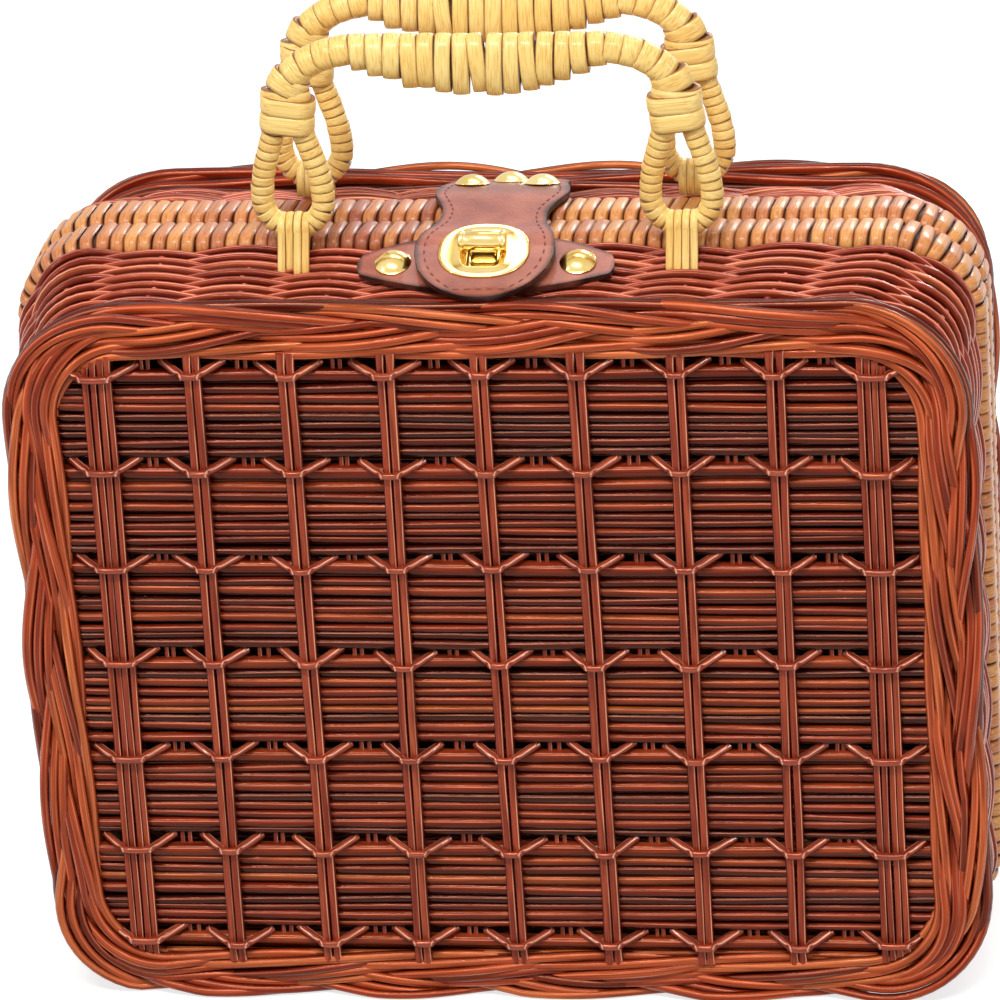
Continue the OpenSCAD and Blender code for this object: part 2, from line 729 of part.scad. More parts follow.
front_panel();
front_panel_stakes();
front_panel_twining();
front_border();
front_wall();
front_rim_hoop();
front_rim_binding();
front_handle_ties();
wing_plate();
wing_rivets();
wing_rivet_burrs();
lock_base();
lock_knob();
hinge_ties();
back_panel();
back_panel_stakes();
back_panel_twining();
back_border();
back_wall();
back_rim_hoop();
back_rim_binding();
back_handle_ties();
hasp_strap();
hasp_eyelet();
hasp_rivets();
hasp_rivet_burrs();
front_handle();
front_handle_collars();
back_handle();
back_handle_collars();
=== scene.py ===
# %% [markdown]
# # A basket box bag
# This lesson dresses the solids of a small wicker handbag. The bag is two woven willow trays that close on
# each other like a suitcase, with cane-bound rims, cane handles, a leather hasp and a brass turn lock.
# The solids already hold every size and every joint, so each step below reads its places from them.

# %% Load the frame
import json
import math
import random

import bpy
import numpy as np
from mathutils import Matrix, Vector


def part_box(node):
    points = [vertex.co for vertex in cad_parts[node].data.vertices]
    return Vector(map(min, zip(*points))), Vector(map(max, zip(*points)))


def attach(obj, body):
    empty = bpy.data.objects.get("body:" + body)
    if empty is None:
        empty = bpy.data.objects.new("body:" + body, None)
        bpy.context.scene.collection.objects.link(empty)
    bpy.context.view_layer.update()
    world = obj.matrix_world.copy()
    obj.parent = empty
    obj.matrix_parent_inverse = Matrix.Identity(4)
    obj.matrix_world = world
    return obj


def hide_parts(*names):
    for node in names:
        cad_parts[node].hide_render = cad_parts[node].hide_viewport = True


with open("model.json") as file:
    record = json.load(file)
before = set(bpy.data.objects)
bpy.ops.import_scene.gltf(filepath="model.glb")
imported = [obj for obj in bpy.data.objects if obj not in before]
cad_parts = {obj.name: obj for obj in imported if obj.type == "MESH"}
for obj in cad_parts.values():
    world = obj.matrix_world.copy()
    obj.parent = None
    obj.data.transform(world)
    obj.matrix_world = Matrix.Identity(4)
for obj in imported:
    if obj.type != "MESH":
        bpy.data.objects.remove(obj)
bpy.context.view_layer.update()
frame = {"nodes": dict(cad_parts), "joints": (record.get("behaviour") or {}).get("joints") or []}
MM = 0.001
SIDES = {"front": -1, "back": 1}
print("frame loaded with", len(frame["nodes"]), "nodes")

# %% [markdown]
# ## Places read from the solids
# Each solid's box gives the rim, border, wall and face of a tray, and the joints give the handle pivots and
# the tilt of the top wall. Only sizes that a box can't show, such as a rod's thickness, are written here.

# %% Measure the trays


def span(node):
    """Lowest and highest corner of a solid, as arrays."""
    low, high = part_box(node)
    return np.array(low), np.array(high)


JOINTS = {joint["name"]: joint for joint in frame["joints"]}
rim_low, rim_high = span("front_rim_binding")
border_low, border_high = span("front_border")
panel_low, panel_high = span("front_panel")
wall_low, wall_high = span("front_wall")

RIM_THICK = 7.6 * MM
RIM_CORNER = 22.2 * MM
rim_depth = rim_high[1] - rim_low[1]
rim_y = -(rim_low[1] + rim_high[1]) / 2
rim_width = rim_high[0] - rim_low[0] - RIM_THICK
rim_bottom = rim_low[2] + RIM_THICK / 2
rim_top = rim_high[2] - RIM_THICK / 2

BORDER_CORNER = 25.6 * MM
border_r = (border_high[1] - border_low[1]) / 2
border_y = -(border_low[1] + border_high[1]) / 2
border_width = border_high[0] - border_low[0] - 2 * border_r
border_top = border_high[2] - border_r
BORDER_BOTTOM = 6.0 * MM

print("rim %.1f mm deep, border %.1f mm thick" % (rim_depth / MM, 2 * border_r / MM))

# %% [markdown]
# ## Paths round a rounded rectangle
# Border, wall and rim all run round the tray. One function walks a rounded rectangle in even steps and
# gives each point with its outward normal, so that a rod can weave in and out of the path.

# %% Walk round a tray


def round_path(width, low, high, corner, step):
    """Points (x, z), outward normals and running lengths round a rounded rectangle."""
    half_x = width / 2 - corner
    half_z = (high - low) / 2 - corner
    middle = (high + low) / 2
    arc = math.pi / 2 * corner
    runs = [2 * half_x, 2 * half_z, 2 * half_x, 2 * half_z]
    centres = [(half_x, -half_z), (half_x, half_z), (-half_x, half_z), (-half_x, -half_z)]
    total = sum(runs) + 4 * arc
    count = int(round(total / step))
    points, normals, lengths = [], [], []
    for index in range(count):
        left = total * index / count
        lengths.append(left)
        for k in range(4):
            turn = k * math.pi / 2
            if left <= runs[k]:
                out = turn - math.pi / 2
                along = left - runs[k]
                break
            left -= runs[k]
            if left <= arc:
                out = turn - math.pi / 2 + left / corner
                along = 0.0
                break
            left -= arc
        normal = np.array([math.cos(out), math.sin(out)])
        forward = np.array([-normal[1], normal[0]])
        points.append(np.array([centres[k][0], centres[k][1] + middle]) + normal * corner + forward * along)
        normals.append(normal)
    return np.array(points), np.array(normals), np.array(lengths), total


# %% [markdown]
# ## Rods by Geometry Nodes
# Willow rods are long, round and never quite even. Each rod is drawn as a chain of edges that carries its own
# thickness, tone and running length. A node tree turns the chains into curves and sweeps a circle along
# them. Sweeping by hand would work too, but the tree keeps the attributes that the finish reads later, and
# it stores which way each point of the skin faces.

# %% The rod tree


def new_tree(name, inputs):
    """An empty Geometry Nodes tree with a geometry socket and the named inputs."""
    tree = bpy.data.node_groups.new(name, "GeometryNodeTree")
    tree.interface.new_socket("Geometry", in_out="INPUT", socket_type="NodeSocketGeometry")
    for label, kind in inputs:
        tree.interface.new_socket(label, in_out="INPUT", socket_type=kind)
    tree.interface.new_socket("Geometry", in_out="OUTPUT", socket_type="NodeSocketGeometry")
    return tree, tree.nodes.new("NodeGroupInput"), tree.nodes.new("NodeGroupOutput")


def named(tree, label, kind):
    """A node that reads a named attribute."""
    node = tree.nodes.new("GeometryNodeInputNamedAttribute")
    node.data_type = kind
    node.inputs["Name"].default_value = label
    return node.outputs["Attribute"]


def stored(tree, label, kind):
    """A node that stores a named attribute on points."""
    node = tree.nodes.new("GeometryNodeStoreNamedAttribute")
    node.data_type = kind
    node.domain = "POINT"
    node.inputs["Name"].default_value = label
    return node


def close_tree(tree, geometry, start, end):
    """The end of every tree here: real geometry that wears the finish."""
    realize = tree.nodes.new("GeometryNodeRealizeInstances")
    finish = tree.nodes.new("GeometryNodeSetMaterial")
    tree.links.new(geometry, realize.inputs["Geometry"])
    tree.links.new(realize.outputs["Geometry"], finish.inputs["Geometry"])
    tree.links.new(start.outputs["Finish"], finish.inputs["Material"])
    tree.links.new(finish.outputs["Geometry"], end.inputs["Geometry"])


def rod_tree():
    """Sweeps a circle along each chain, as thick as the chain's attribute says."""
    tree, start, end = new_tree(
        "Rods along paths", [("Sides", "NodeSocketInt"), ("Finish", "NodeSocketMaterial")])
    link = tree.links.new
    curve = tree.nodes.new("GeometryNodeMeshToCurve")
    radius = tree.nodes.new("GeometryNodeSetCurveRadius")
    circle = tree.nodes.new("GeometryNodeCurvePrimitiveCircle")
    circle.inputs["Radius"].default_value = 1.0
    place = tree.nodes.new("GeometryNodeSplineParameter")
    around = stored(tree, "around", "FLOAT")
    sweep = tree.nodes.new("GeometryNodeCurveToMesh")
    sweep.inputs["Fill Caps"].default_value = True
    skin = tree.nodes.new("GeometryNodeInputNormal")
    facing = stored(tree, "facing", "FLOAT_VECTOR")
    smooth = tree.nodes.new("GeometryNodeSetShadeSmooth")
    link(start.outputs["Geometry"], curve.inputs["Mesh"])
    link(curve.outputs["Curve"], radius.inputs["Curve"])
    link(named(tree, "thick", "FLOAT"), radius.inputs["Radius"])
    link(start.outputs["Sides"], circle.inputs["Resolution"])
    link(circle.outputs["Curve"], around.inputs["Geometry"])
    link(place.outputs["Factor"], around.inputs["Value"])
    link(radius.outputs["Curve"], sweep.inputs["Curve"])
    link(around.outputs["Geometry"], sweep.inputs["Profile Curve"])
    if "Scale" in sweep.inputs:
        link(named(tree, "thick", "FLOAT"), sweep.inputs["Scale"])
    link(sweep.outputs["Mesh"], facing.inputs["Geometry"])
    link(skin.outputs["Normal"], facing.inputs["Value"])
    link(facing.outputs["Geometry"], smooth.inputs["Geometry"])
    close_tree(tree, smooth.outputs["Geometry"], start, end)
    return tree


RODS = rod_tree()
print("rod tree has", len(RODS.nodes), "nodes")

# %% From paths to a piece


def settle(source, tree, values, name):
    """Runs a tree on an object and keeps the result as a plain mesh object."""
    bpy.context.scene.collection.objects.link(source)
    modifier = source.modifiers.new(tree.name, "NODES")
    modifier.node_group = tree
    for item in tree.interface.items_tree:
        if item.in_out == "INPUT" and item.name in values:
            modifier[item.identifier] = values[item.name]
    graph = bpy.context.evaluated_depsgraph_get()
    mesh = bpy.data.meshes.new_from_object(source.evaluated_get(graph))
    mesh.name = name
    piece = bpy.data.objects.new(name, mesh)
    bpy.context.scene.collection.objects.link(piece)
    source.modifiers.remove(modifier)
    bpy.data.objects.remove(source)
    return piece


def chain(points, thick, tone, closed=False):
    """One rod: its points, thickness at each point and one tone."""
    points = np.asarray(points, dtype=float)
    steps = np.linalg.norm(np.diff(points, axis=0), axis=1)
    run = np.concatenate([[0.0], np.cumsum(steps)])
    return points, np.broadcast_to(thick, (len(points),)), np.full(len(points), tone), run, closed


def rods_piece(name, chains, sides, finish):
    """A piece made of many rods."""
    edges, first = [], 0
    for points, _, _, _, closed in chains:
        count = len(points)
        edges += [(first + i, first + i + 1) for i in range(count - 1)]
        if closed:
            edges.append((first + count - 1, first))
        first += count
    mesh = bpy.data.meshes.new(name + "_paths")
    mesh.from_pydata(np.concatenate([c[0] for c in chains]).tolist(), edges, [])
    for label, column in (("thick", 1), ("tone", 2), ("run", 3)):
        values = np.concatenate([c[column] for c in chains]).astype(np.float32)
        mesh.attributes.new(label, "FLOAT", "POINT").data.foreach_set("value", values)
    source = bpy.data.objects.new(name + "_paths", mesh)
    piece = settle(source, RODS, {"Sides": sides, "Finish": finish}, name)
    print(name, "has", len(chains), "rods and", len(piece.data.polygons), "faces")
    return piece


ONE_TURN = 6.28


def phase(rng):
    """A seeded place on a wave."""
    return rng.uniform(0, ONE_TURN)


def wander(rng, length, size, waves=3):
    """A slow seeded wander along a rod, as a function of its running length."""
    parts = [(rng.uniform(0.6, 1.6) * (i + 1), phase(rng), rng.uniform(0.4, 1.0) / (i + 1))
             for i in range(waves)]

    def at(s):
        return size * sum(a * np.sin(f * ONE_TURN * s / length + p) for f, p, a in parts)
    return at


# %% [markdown]
# ## Turns by Geometry Nodes
# Rims and handles are bound with a flat cane strip, and each turn of it lies beside the next. One turn is
# modelled once as a small cambered ring. A second tree sets it on points, each with its own turn, size
# and tone.

# %% The turn tree


def turn_tree():
    """Sets one shape on points, each with its own turn and size."""
    tree, start, end = new_tree(
        "Turns on points", [("Turn", "NodeSocketObject"), ("Finish", "NodeSocketMaterial")])
    link = tree.links.new
    info = tree.nodes.new("GeometryNodeObjectInfo")
    spin = tree.nodes.new("FunctionNodeEulerToRotation")
    place = tree.nodes.new("GeometryNodeInstanceOnPoints")
    link(start.outputs["Turn"], info.inputs["Object"])
    link(start.outputs["Geometry"], place.inputs["Points"])
    link(info.outputs["Geometry"], place.inputs["Instance"])
    link(named(tree, "spin", "FLOAT_VECTOR"), spin.inputs["Euler"])
    link(spin.outputs["Rotation"], place.inputs["Rotation"])
    link(named(tree, "size", "FLOAT_VECTOR"), place.inputs["Scale"])
    close_tree(tree, place.outputs["Instances"], start, end)
    return tree


TURNS = turn_tree()
print("turn tree has", len(TURNS.nodes), "nodes")

# %% One turn of strip


def ring_faces(rings, count, first=0, closed=False):
    """Quads between rings of points, one ring after another; closed joins the last ring to the first."""
    faces = []
    for r in range(rings if closed else rings - 1):
        low, high = first + r * count, first + (r + 1) % rings * count
        faces += [(low + i, low + (i + 1) % count, high + (i + 1) % count, high + i) for i in range(count)]
    return faces


def ring_mesh(name, outline, crown, thick, across_steps=4):
    """One turn of strip round an outline of unit half sizes: cambered outside, closed inside.
    The strip is one unit wide along X. It carries how far across and along the strip each point is."""
    count = len(outline)
    rows = []
    for j in range(across_steps + 1):
        across = 2 * j / across_steps - 1
        rows.append((across, 1 - crown * across ** 4))
    rows += [(1.0, 1 - thick), (-1.0, 1 - thick)]
    verts, across_values, along_values = [], [], []
    for across, grow in rows:
        for i, (y, z) in enumerate(outline):
            verts.append((across / 2, y * grow, z * grow))
            across_values.append(across)
            along_values.append(i / count)
    faces = ring_faces(len(rows), count, closed=True)
    mesh = bpy.data.meshes.new(name)
    mesh.from_pydata(verts, [], faces)
    mesh.polygons.foreach_set("use_smooth", [True] * len(faces))
    for label, values in (("across", across_values), ("along", along_values)):
        mesh.attributes.new(label, "FLOAT", "POINT").data.foreach_set("value", values)
    turn = bpy.data.objects.new(name, mesh)
    bpy.context.scene.collection.objects.link(turn)
    return turn


def round_outline(count, radius=1.0):
    angles = [2 * math.pi * i / count for i in range(count)]
    return [(radius * math.cos(angle), radius * math.sin(angle)) for angle in angles]


def flat_outline(half_y, half_z, count):
    """A stadium section of the given half sizes, long in Y."""
    points = []
    for i in range(count):
        angle = 2 * math.pi * (i + 0.5) / count
        shift = math.copysign(half_y - half_z, math.cos(angle))
        points.append((half_z * math.cos(angle) + shift, half_z * math.sin(angle)))
    return points


def turns_piece(name, turn, places, finish):
    """A piece made of many turns; places holds (point, rotation matrix, size, tone)."""
    mesh = bpy.data.meshes.new(name + "_places")
    mesh.from_pydata([tuple(p[0]) for p in places], [], [])
    spins = [c for p in places for c in p[1].to_euler()]
    sizes = [c for p in places for c in p[2]]
    mesh.attributes.new("spin", "FLOAT_VECTOR", "POINT").data.foreach_set("vector", spins)
    mesh.attributes.new("size", "FLOAT_VECTOR", "POINT").data.foreach_set("vector", sizes)
    mesh.attributes.new("tone", "FLOAT", "POINT").data.foreach_set("value", [p[3] for p in places])
    source = bpy.data.objects.new(name + "_places", mesh)
    piece = settle(source, TURNS, {"Turn": turn, "Finish": finish}, name)
    print(name, "has", len(places), "turns and", len(piece.data.polygons), "faces")
    return piece


# %% [markdown]
# ## Shared shader groups
# Willow and cane show streaks that run along the strand and slow blotches of colour. One group makes both
# from the attributes that the trees left on the mesh. Each material places it with its own scale.

# %% The grain group


def new_group(name, inputs, outputs):
    """An empty shader group with named sockets."""
    group = bpy.data.node_groups.new(name, "ShaderNodeTree")
    for label, kind in inputs:
        group.interface.new_socket(label, in_out="INPUT", socket_type=kind)
    for label, kind in outputs:
        group.interface.new_socket(label, in_out="OUTPUT", socket_type=kind)
    return group, group.nodes.new("NodeGroupInput"), group.nodes.new("NodeGroupOutput")


def grain_group():
    """Streaks along a strand and slow blotches, from where a point lies along and around it."""
    group, start, end = new_group(
        "Strand grain",
        [("Along", "NodeSocketFloat"), ("Around", "NodeSocketFloat"), ("Tone", "NodeSocketFloat")],
        [("Streak", "NodeSocketFloat"), ("Blotch", "NodeSocketFloat")])
    link = group.links.new
    shift = group.nodes.new("ShaderNodeMath")
    shift.operation = "MULTIPLY"
    shift.inputs[1].default_value = 57.0
    join = group.nodes.new("ShaderNodeCombineXYZ")
    link(start.outputs["Along"], join.inputs["X"])
    link(start.outputs["Around"], join.inputs["Y"])
    link(start.outputs["Tone"], shift.inputs[0])
    link(shift.outputs[0], join.inputs["Z"])
    for label, scale, detail in (("Streak", 1.0, 3.0), ("Blotch", 0.22, 1.0)):
        noise = group.nodes.new("ShaderNodeTexNoise")
        noise.inputs["Scale"].default_value = scale
        noise.inputs["Detail"].default_value = detail
        link(join.outputs["Vector"], noise.inputs["Vector"])
        link(noise.outputs["Fac"], end.inputs[label])
    return group


GRAIN = grain_group()

# %% Screen colours
WHITE = (1.0, 1.0, 1.0, 1.0)


def linear(red, green, blue):
    """A screen colour, 0 to 255, as the linear colour that a shader takes."""
    def one(value):
        value /= 255
        return value / 12.92 if value <= 0.04045 else ((value + 0.055) / 1.055) ** 2.4
    return (one(red), one(green), one(blue), 1.0)


def stops(*rows):
    """Ramp stops from rows of a place and a screen colour."""
    return [(place, linear(*colour)) for place, *colour in rows]


# %% A material under construction


class Finish:
    """A material under construction, with short helpers for its nodes."""

    def __init__(self, name):
        self.material = bpy.data.materials.new(name)
        self.material.use_nodes = True
        self.nodes = self.material.node_tree.nodes
        self.link = self.material.node_tree.links.new
        self.shader = self.nodes["Principled BSDF"]

    def attribute(self, label):
        node = self.nodes.new("ShaderNodeAttribute")
        node.attribute_name = label
        return node.outputs["Fac"]

    def facing(self, axis):
        """How far a rod's skin faces along an axis, from 0 (away) to 1 (towards)."""
        node = self.nodes.new("ShaderNodeAttribute")
        node.attribute_name = "facing"
        split = self.nodes.new("ShaderNodeSeparateXYZ")
        self.link(node.outputs["Vector"], split.inputs["Vector"])
        return self.scaled(split.outputs[axis], 0.5, 0.5)

    def feed(self, label, output):
        """Links an output to a socket of the shader."""
        self.link(output, self.shader.inputs[label])

    def fix(self, label, value):
        """Sets a socket of the shader to a constant."""
        self.shader.inputs[label].default_value = value

    def scaled(self, value, factor, base):
        """A value times a factor, on top of a base."""
        return self.math("ADD", base, self.math("MULTIPLY", value, factor))

    def math(self, operation, first, second):
        node = self.nodes.new("ShaderNodeMath")
        node.operation = operation
        for socket, value in zip(node.inputs, (first, second)):
            if isinstance(value, (int, float)):
                socket.default_value = value
            else:
                self.link(value, socket)
        return node.outputs[0]

    def ramp(self, factor, rows):
        node = self.nodes.new("ShaderNodeValToRGB")
        for place, _ in rows[2:]:
            node.color_ramp.elements.new(place)
        for element, (place, colour) in zip(node.color_ramp.elements, rows):
            element.position = place
            element.color = colour
        self.link(factor, node.inputs["Fac"])
        return node.outputs["Color"]

    def blend(self, mode, factor, first, second):
        node = self.nodes.new("ShaderNodeMix")
        node.data_type = "RGBA"
        node.blend_type = mode
        for socket, value in ((node.inputs[0], factor), (node.inputs[6], first), (node.inputs[7], second)):
            if isinstance(value, (int, float, tuple)):
                socket.default_value = value
            else:
                self.link(value, socket)
        return node.outputs[2]

    def group(self, tree, **values):
        node = self.nodes.new("ShaderNodeGroup")
        node.node_tree = tree
        for label, value in values.items():
            self.link(value, node.inputs[label])
        return node.outputs

    def noise(self, scale, detail, roughness=0.5):
        place = self.nodes.new("ShaderNodeTexCoord")
        node = self.nodes.new("ShaderNodeTexNoise")
        node.inputs["Scale"].default_value = scale
        node.inputs["Detail"].default_value = detail
        node.inputs["Roughness"].default_value = roughness
        self.link(place.outputs["Object"], node.inputs["Vector"])
        return node.outputs["Fac"]

    def bump(self, height, strength, distance):
        node = self.nodes.new("ShaderNodeBump")
        node.inputs["Strength"].default_value = strength
        node.inputs["Distance"].default_value = distance
        self.link(height, node.inputs["Height"])
        self.feed("Normal", node.outputs["Normal"])


# %% [markdown]
# ## Stained willow
# The rods are peeled willow, stained red-brown and varnished. Every rod took the stain differently, so the
# colour runs from near black mahogany to orange by rod, with blotches and fine streaks along it. A coat
# gives the small glints of varnish. Each rod also carries a painted highlight line and painted shade on its
# underside, whatever the light. Lamps alone lose the line on a rod this small, so the finish paints both
# from the way the skin faces: upwards on the face, sideways on a stake.

# %% Willow finish
TONE_PLACES = (0.14, 0.36, 0.54, 0.76, 0.95)
STREAKS_ALONG = 55.0
STREAKS_AROUND = 7.0
VARNISH_TINT = linear(255, 150, 108)


def tones(*colours):
    """Ramp stops of five screen colours, from the darkest rod to the palest."""
    return [(place, linear(*colour)) for place, colour in zip(TONE_PLACES, colours)]


def painted_highlight_lines(*rows):
    """Ramp stops of thin painted highlight lines, from rows of a place, a half width and a screen colour."""
    black = linear(0, 0, 0)
    return [stop for middle, half, *colour in rows for stop in (
        (middle - half, black), (middle, linear(*colour)), (middle + half, black))]


def willow(name, tone_stops, streak_dark, axis, shade, lines, gloss=0.36):
    """Varnished willow: a colour ramp by rod and blotch, and streaks along the rod. By the way the skin faces
    along the axis, the colour is multiplied by the painted shade, and the broken painted highlight lines are
    added."""
    make = Finish(name)
    tone = make.attribute("tone")
    along = make.math("MULTIPLY", make.attribute("run"), STREAKS_ALONG)
    around = make.math("MULTIPLY", make.attribute("around"), STREAKS_AROUND)
    grain = make.group(GRAIN, Along=along, Around=around, Tone=tone)
    mixed = make.math("ADD", make.math("MULTIPLY", tone, 0.66), make.math("MULTIPLY", grain["Blotch"], 0.38))
    streak = make.ramp(grain["Streak"], [(0.38, streak_dark), (0.62, WHITE)])
    colour = make.blend("MULTIPLY", 0.75, make.ramp(mixed, tone_stops), streak)
    place = make.facing(axis)
    broken = make.ramp(grain["Streak"], [(0.36, (0.25, 0.25, 0.25, 1.0)), (0.58, WHITE)])
    # Painted light: the shade ramp darkens the skin by which way it faces, and the line ramp adds painted
    # highlight lines.
    colour = make.blend("MULTIPLY", 1.0, colour, make.ramp(place, shade))
    colour = make.blend("ADD", 1.0, colour, make.blend("MULTIPLY", 1.0, make.ramp(place, lines), broken))
    make.feed("Base Color", colour)
    make.feed("Roughness", make.scaled(grain["Streak"], 0.16, 0.09))
    make.fix("Specular IOR Level", gloss)
    make.fix("Specular Tint", VARNISH_TINT)
    make.fix("Coat Weight", 0.4 * gloss)
    make.fix("Coat Roughness", 0.08)
    make.bump(grain["Streak"], 0.25, 0.0004)
    return make.material


# %% Willow for each kind of rod
# Wall: painted shade in the valleys between rows, and two painted highlight lines on each rod's outer side.
WALL_WILLOW = willow(
    "willow_wall", tones((124, 42, 30), (170, 68, 46), (196, 90, 62), (212, 112, 76), (226, 144, 98)),
    linear(165, 122, 108), "Y",
    stops((0.06, 168, 140, 132), (0.26, 255, 255, 255), (0.74, 255, 255, 255), (0.94, 168, 140, 132)),
    painted_highlight_lines((0.34, 0.06, 222, 168, 148), (0.66, 0.06, 222, 168, 148)))
# Face: painted shade on each rod's underside, and one painted highlight line along its upper side.
FACE_WILLOW = willow(
    "willow_face", tones((42, 9, 4), (92, 22, 9), (132, 40, 17), (160, 66, 27), (186, 102, 46)),
    linear(140, 100, 85), "Z",
    stops((0.2, 95, 75, 70), (0.48, 205, 190, 185), (0.64, 255, 255, 255)),
    painted_highlight_lines((0.735, 0.055, 205, 132, 104)))
# Stakes: painted shade at both side edges, a dim painted highlight line on the left and a bright one on the
# right.
STAKE_WILLOW = willow(
    "willow_stake", tones((122, 34, 21), (144, 48, 29), (158, 59, 36), (174, 75, 46), (192, 100, 63)),
    linear(158, 112, 96), "X",
    stops((0.08, 140, 100, 90), (0.3, 255, 255, 255), (0.7, 255, 255, 255), (0.98, 140, 100, 90)),
    painted_highlight_lines((0.19, 0.06, 130, 78, 58), (0.81, 0.07, 244, 192, 154)))
# Twining: slight painted shade on the sides, painted glints at the bends and painted highlight lines along
# the wings.
TWINE_WILLOW = willow(
    "willow_twine", tones((112, 32, 16), (140, 48, 26), (158, 60, 34), (172, 74, 42), (190, 98, 58)),
    linear(160, 115, 100), "X",
    stops((0.0, 215, 195, 190), (0.5, 255, 255, 255), (1.0, 215, 195, 190)),
    painted_highlight_lines((0.3, 0.06, 236, 190, 160), (0.7, 0.06, 236, 190, 160)), gloss=0.9)
# Border: painted shade on the sides of each rod, and painted highlight lines near its ridge.
BORDER_WILLOW = willow(
    "willow_border", tones((98, 24, 11), (156, 49, 21), (184, 73, 34), (205, 100, 51), (222, 136, 78)),
    linear(150, 105, 85), "Y",
    stops((0.22, 255, 255, 255), (0.42, 120, 92, 84), (0.58, 120, 92, 84), (0.78, 255, 255, 255)),
    painted_highlight_lines((0.1, 0.05, 150, 104, 78), (0.9, 0.05, 150, 104, 78)))
print("five willow finishes are ready")

# %% [markdown]
# ## Cane
# Rims and handles are bound with split cane. A strip is pale, glossy on its outer skin, and darker along both
# edges where varnish and dirt gather. Fine fibres run along it.

# %% Cane finishes
FIBRES_ALONG = 9.0
FIBRES_ACROSS = 7.0


def cane(name, tone_stops, edge_colour, edge_start, fibre_colour):
    """Split cane: one tone a turn, fibres along the strip and dark edges."""
    make = Finish(name)
    tone = make.attribute("tone")
    along = make.math("MULTIPLY", make.attribute("along"), FIBRES_ALONG)
    across = make.attribute("across")
    fibre = make.math("MULTIPLY", across, FIBRES_ACROSS)
    grain = make.group(GRAIN, Along=along, Around=fibre, Tone=tone)
    mixed = make.math("ADD", make.math("MULTIPLY", tone, 0.6), make.math("MULTIPLY", grain["Streak"], 0.42))
    edge = make.ramp(make.math("ABSOLUTE", across, 0.0), [(edge_start, WHITE), (1.0, edge_colour)])
    thread = make.ramp(grain["Streak"], [(0.3, fibre_colour), (0.52, WHITE)])
    colour = make.blend("MULTIPLY", 0.8, make.ramp(mixed, tone_stops), thread)
    make.feed("Base Color", make.blend("MULTIPLY", 0.9, colour, edge))
    make.feed("Roughness", make.scaled(grain["Streak"], 0.3, 0.28))
    make.fix("Specular IOR Level", 0.35)
    make.fix("Coat Weight", 0.25)
    make.fix("Coat Roughness", 0.15)
    make.bump(grain["Streak"], 0.4, 0.0005)
    return make.material


RIM_CANE = cane(
    "rim_cane",
    stops((0.15, 166, 88, 58), (0.45, 206, 130, 74), (0.75, 226, 158, 86), (0.95, 238, 188, 116)),
    linear(110, 56, 32), 0.7, linear(214, 176, 150))
HANDLE_CANE = cane(
    "handle_cane",
    stops((0.15, 231, 174, 86), (0.4, 246, 202, 112), (0.75, 252, 219, 135), (0.95, 254, 230, 160)),
    linear(140, 84, 40), 0.86, linear(226, 194, 146))
print("two cane finishes are ready")

# %% [markdown]
# ## Leather and brass
# The hasp is thick vegetable-tanned leather with a pebbled grain and dark burnished edges. The fittings are
# polished brass with fine handling marks. Both read plain Object coordinates, because nothing runs along
# them. Only the leather's dark edge reads an attribute, which says how far a point is from the cut.

# %% Leather and brass finishes


def leather(name):
    make = Finish(name)
    pebble = make.nodes.new("ShaderNodeTexVoronoi")
    pebble.inputs["Scale"].default_value = 1100.0
    place = make.nodes.new("ShaderNodeTexCoord")
    make.link(place.outputs["Object"], pebble.inputs["Vector"])
    cloud = make.noise(95.0, 4.0)
    colour = make.ramp(cloud, stops((0.3, 132, 62, 46), (0.5, 158, 82, 62), (0.72, 178, 104, 82)))
    inward = make.math("ADD", make.attribute("rim"), make.math("MULTIPLY", cloud, 0.3))
    rim = make.ramp(inward, [(0.16, linear(74, 46, 42)), (0.3, WHITE)])
    make.feed("Base Color", make.blend("MULTIPLY", 1.0, colour, rim))
    make.feed("Roughness", make.scaled(cloud, 0.2, 0.38))
    make.fix("Coat Weight", 0.15)
    make.bump(make.math("ADD", pebble.outputs["Distance"], cloud), 0.22, 0.0003)
    return make.material


def brass(name):
    make = Finish(name)
    wear = make.noise(700.0, 5.0, 0.65)
    cloud = make.noise(60.0, 2.0)
    make.feed("Base Color", make.ramp(cloud, stops((0.3, 228, 190, 106), (0.7, 250, 227, 158))))
    make.fix("Metallic", 1.0)
    make.feed("Roughness", make.scaled(wear, 0.2, 0.10))
    make.bump(wear, 0.05, 0.0002)
    return make.material


def matt(name, scale, detail, tone_stops, rough, rough_factor, bump_height):
    """A dull, slightly uneven surface: the hoop between its binding's turns, or sewing thread."""
    make = Finish(name)
    cloud = make.noise(scale, detail)
    make.feed("Base Color", make.ramp(cloud, tone_stops))
    make.feed("Roughness", make.scaled(cloud, rough_factor, rough))
    make.bump(cloud, 0.2, bump_height)
    return make.material


LEATHER = leather("leather_brown")
BRASS = brass("brass_polished")
HOOP_WOOD = matt("hoop_wood", 300.0, 4.0, stops((0.3, 58, 30, 16), (0.7, 104, 60, 32)), 0.5, 0.3, 0.0004)
THREAD = matt("thread_dark", 2500.0, 2.0, stops((0.3, 88, 44, 36), (0.7, 124, 68, 56)), 0.55, 0.2, 0.0002)
print("leather, brass, wood and thread finishes are ready")

# %% [markdown]
# ## The face of a tray
# The face is thin rods laid across, behind nine columns of upright stakes. Each rod has its own thickness,
# slants a little and thins towards its ends. The top rod of a bay is wide, and above each twined row one rod
# is left out, which gives the dark gaps that show on the real bag. An inner layer of rods closes the seams
# and follows the slant of the rods in front of it; its one dark tone is painted shade in the seams.

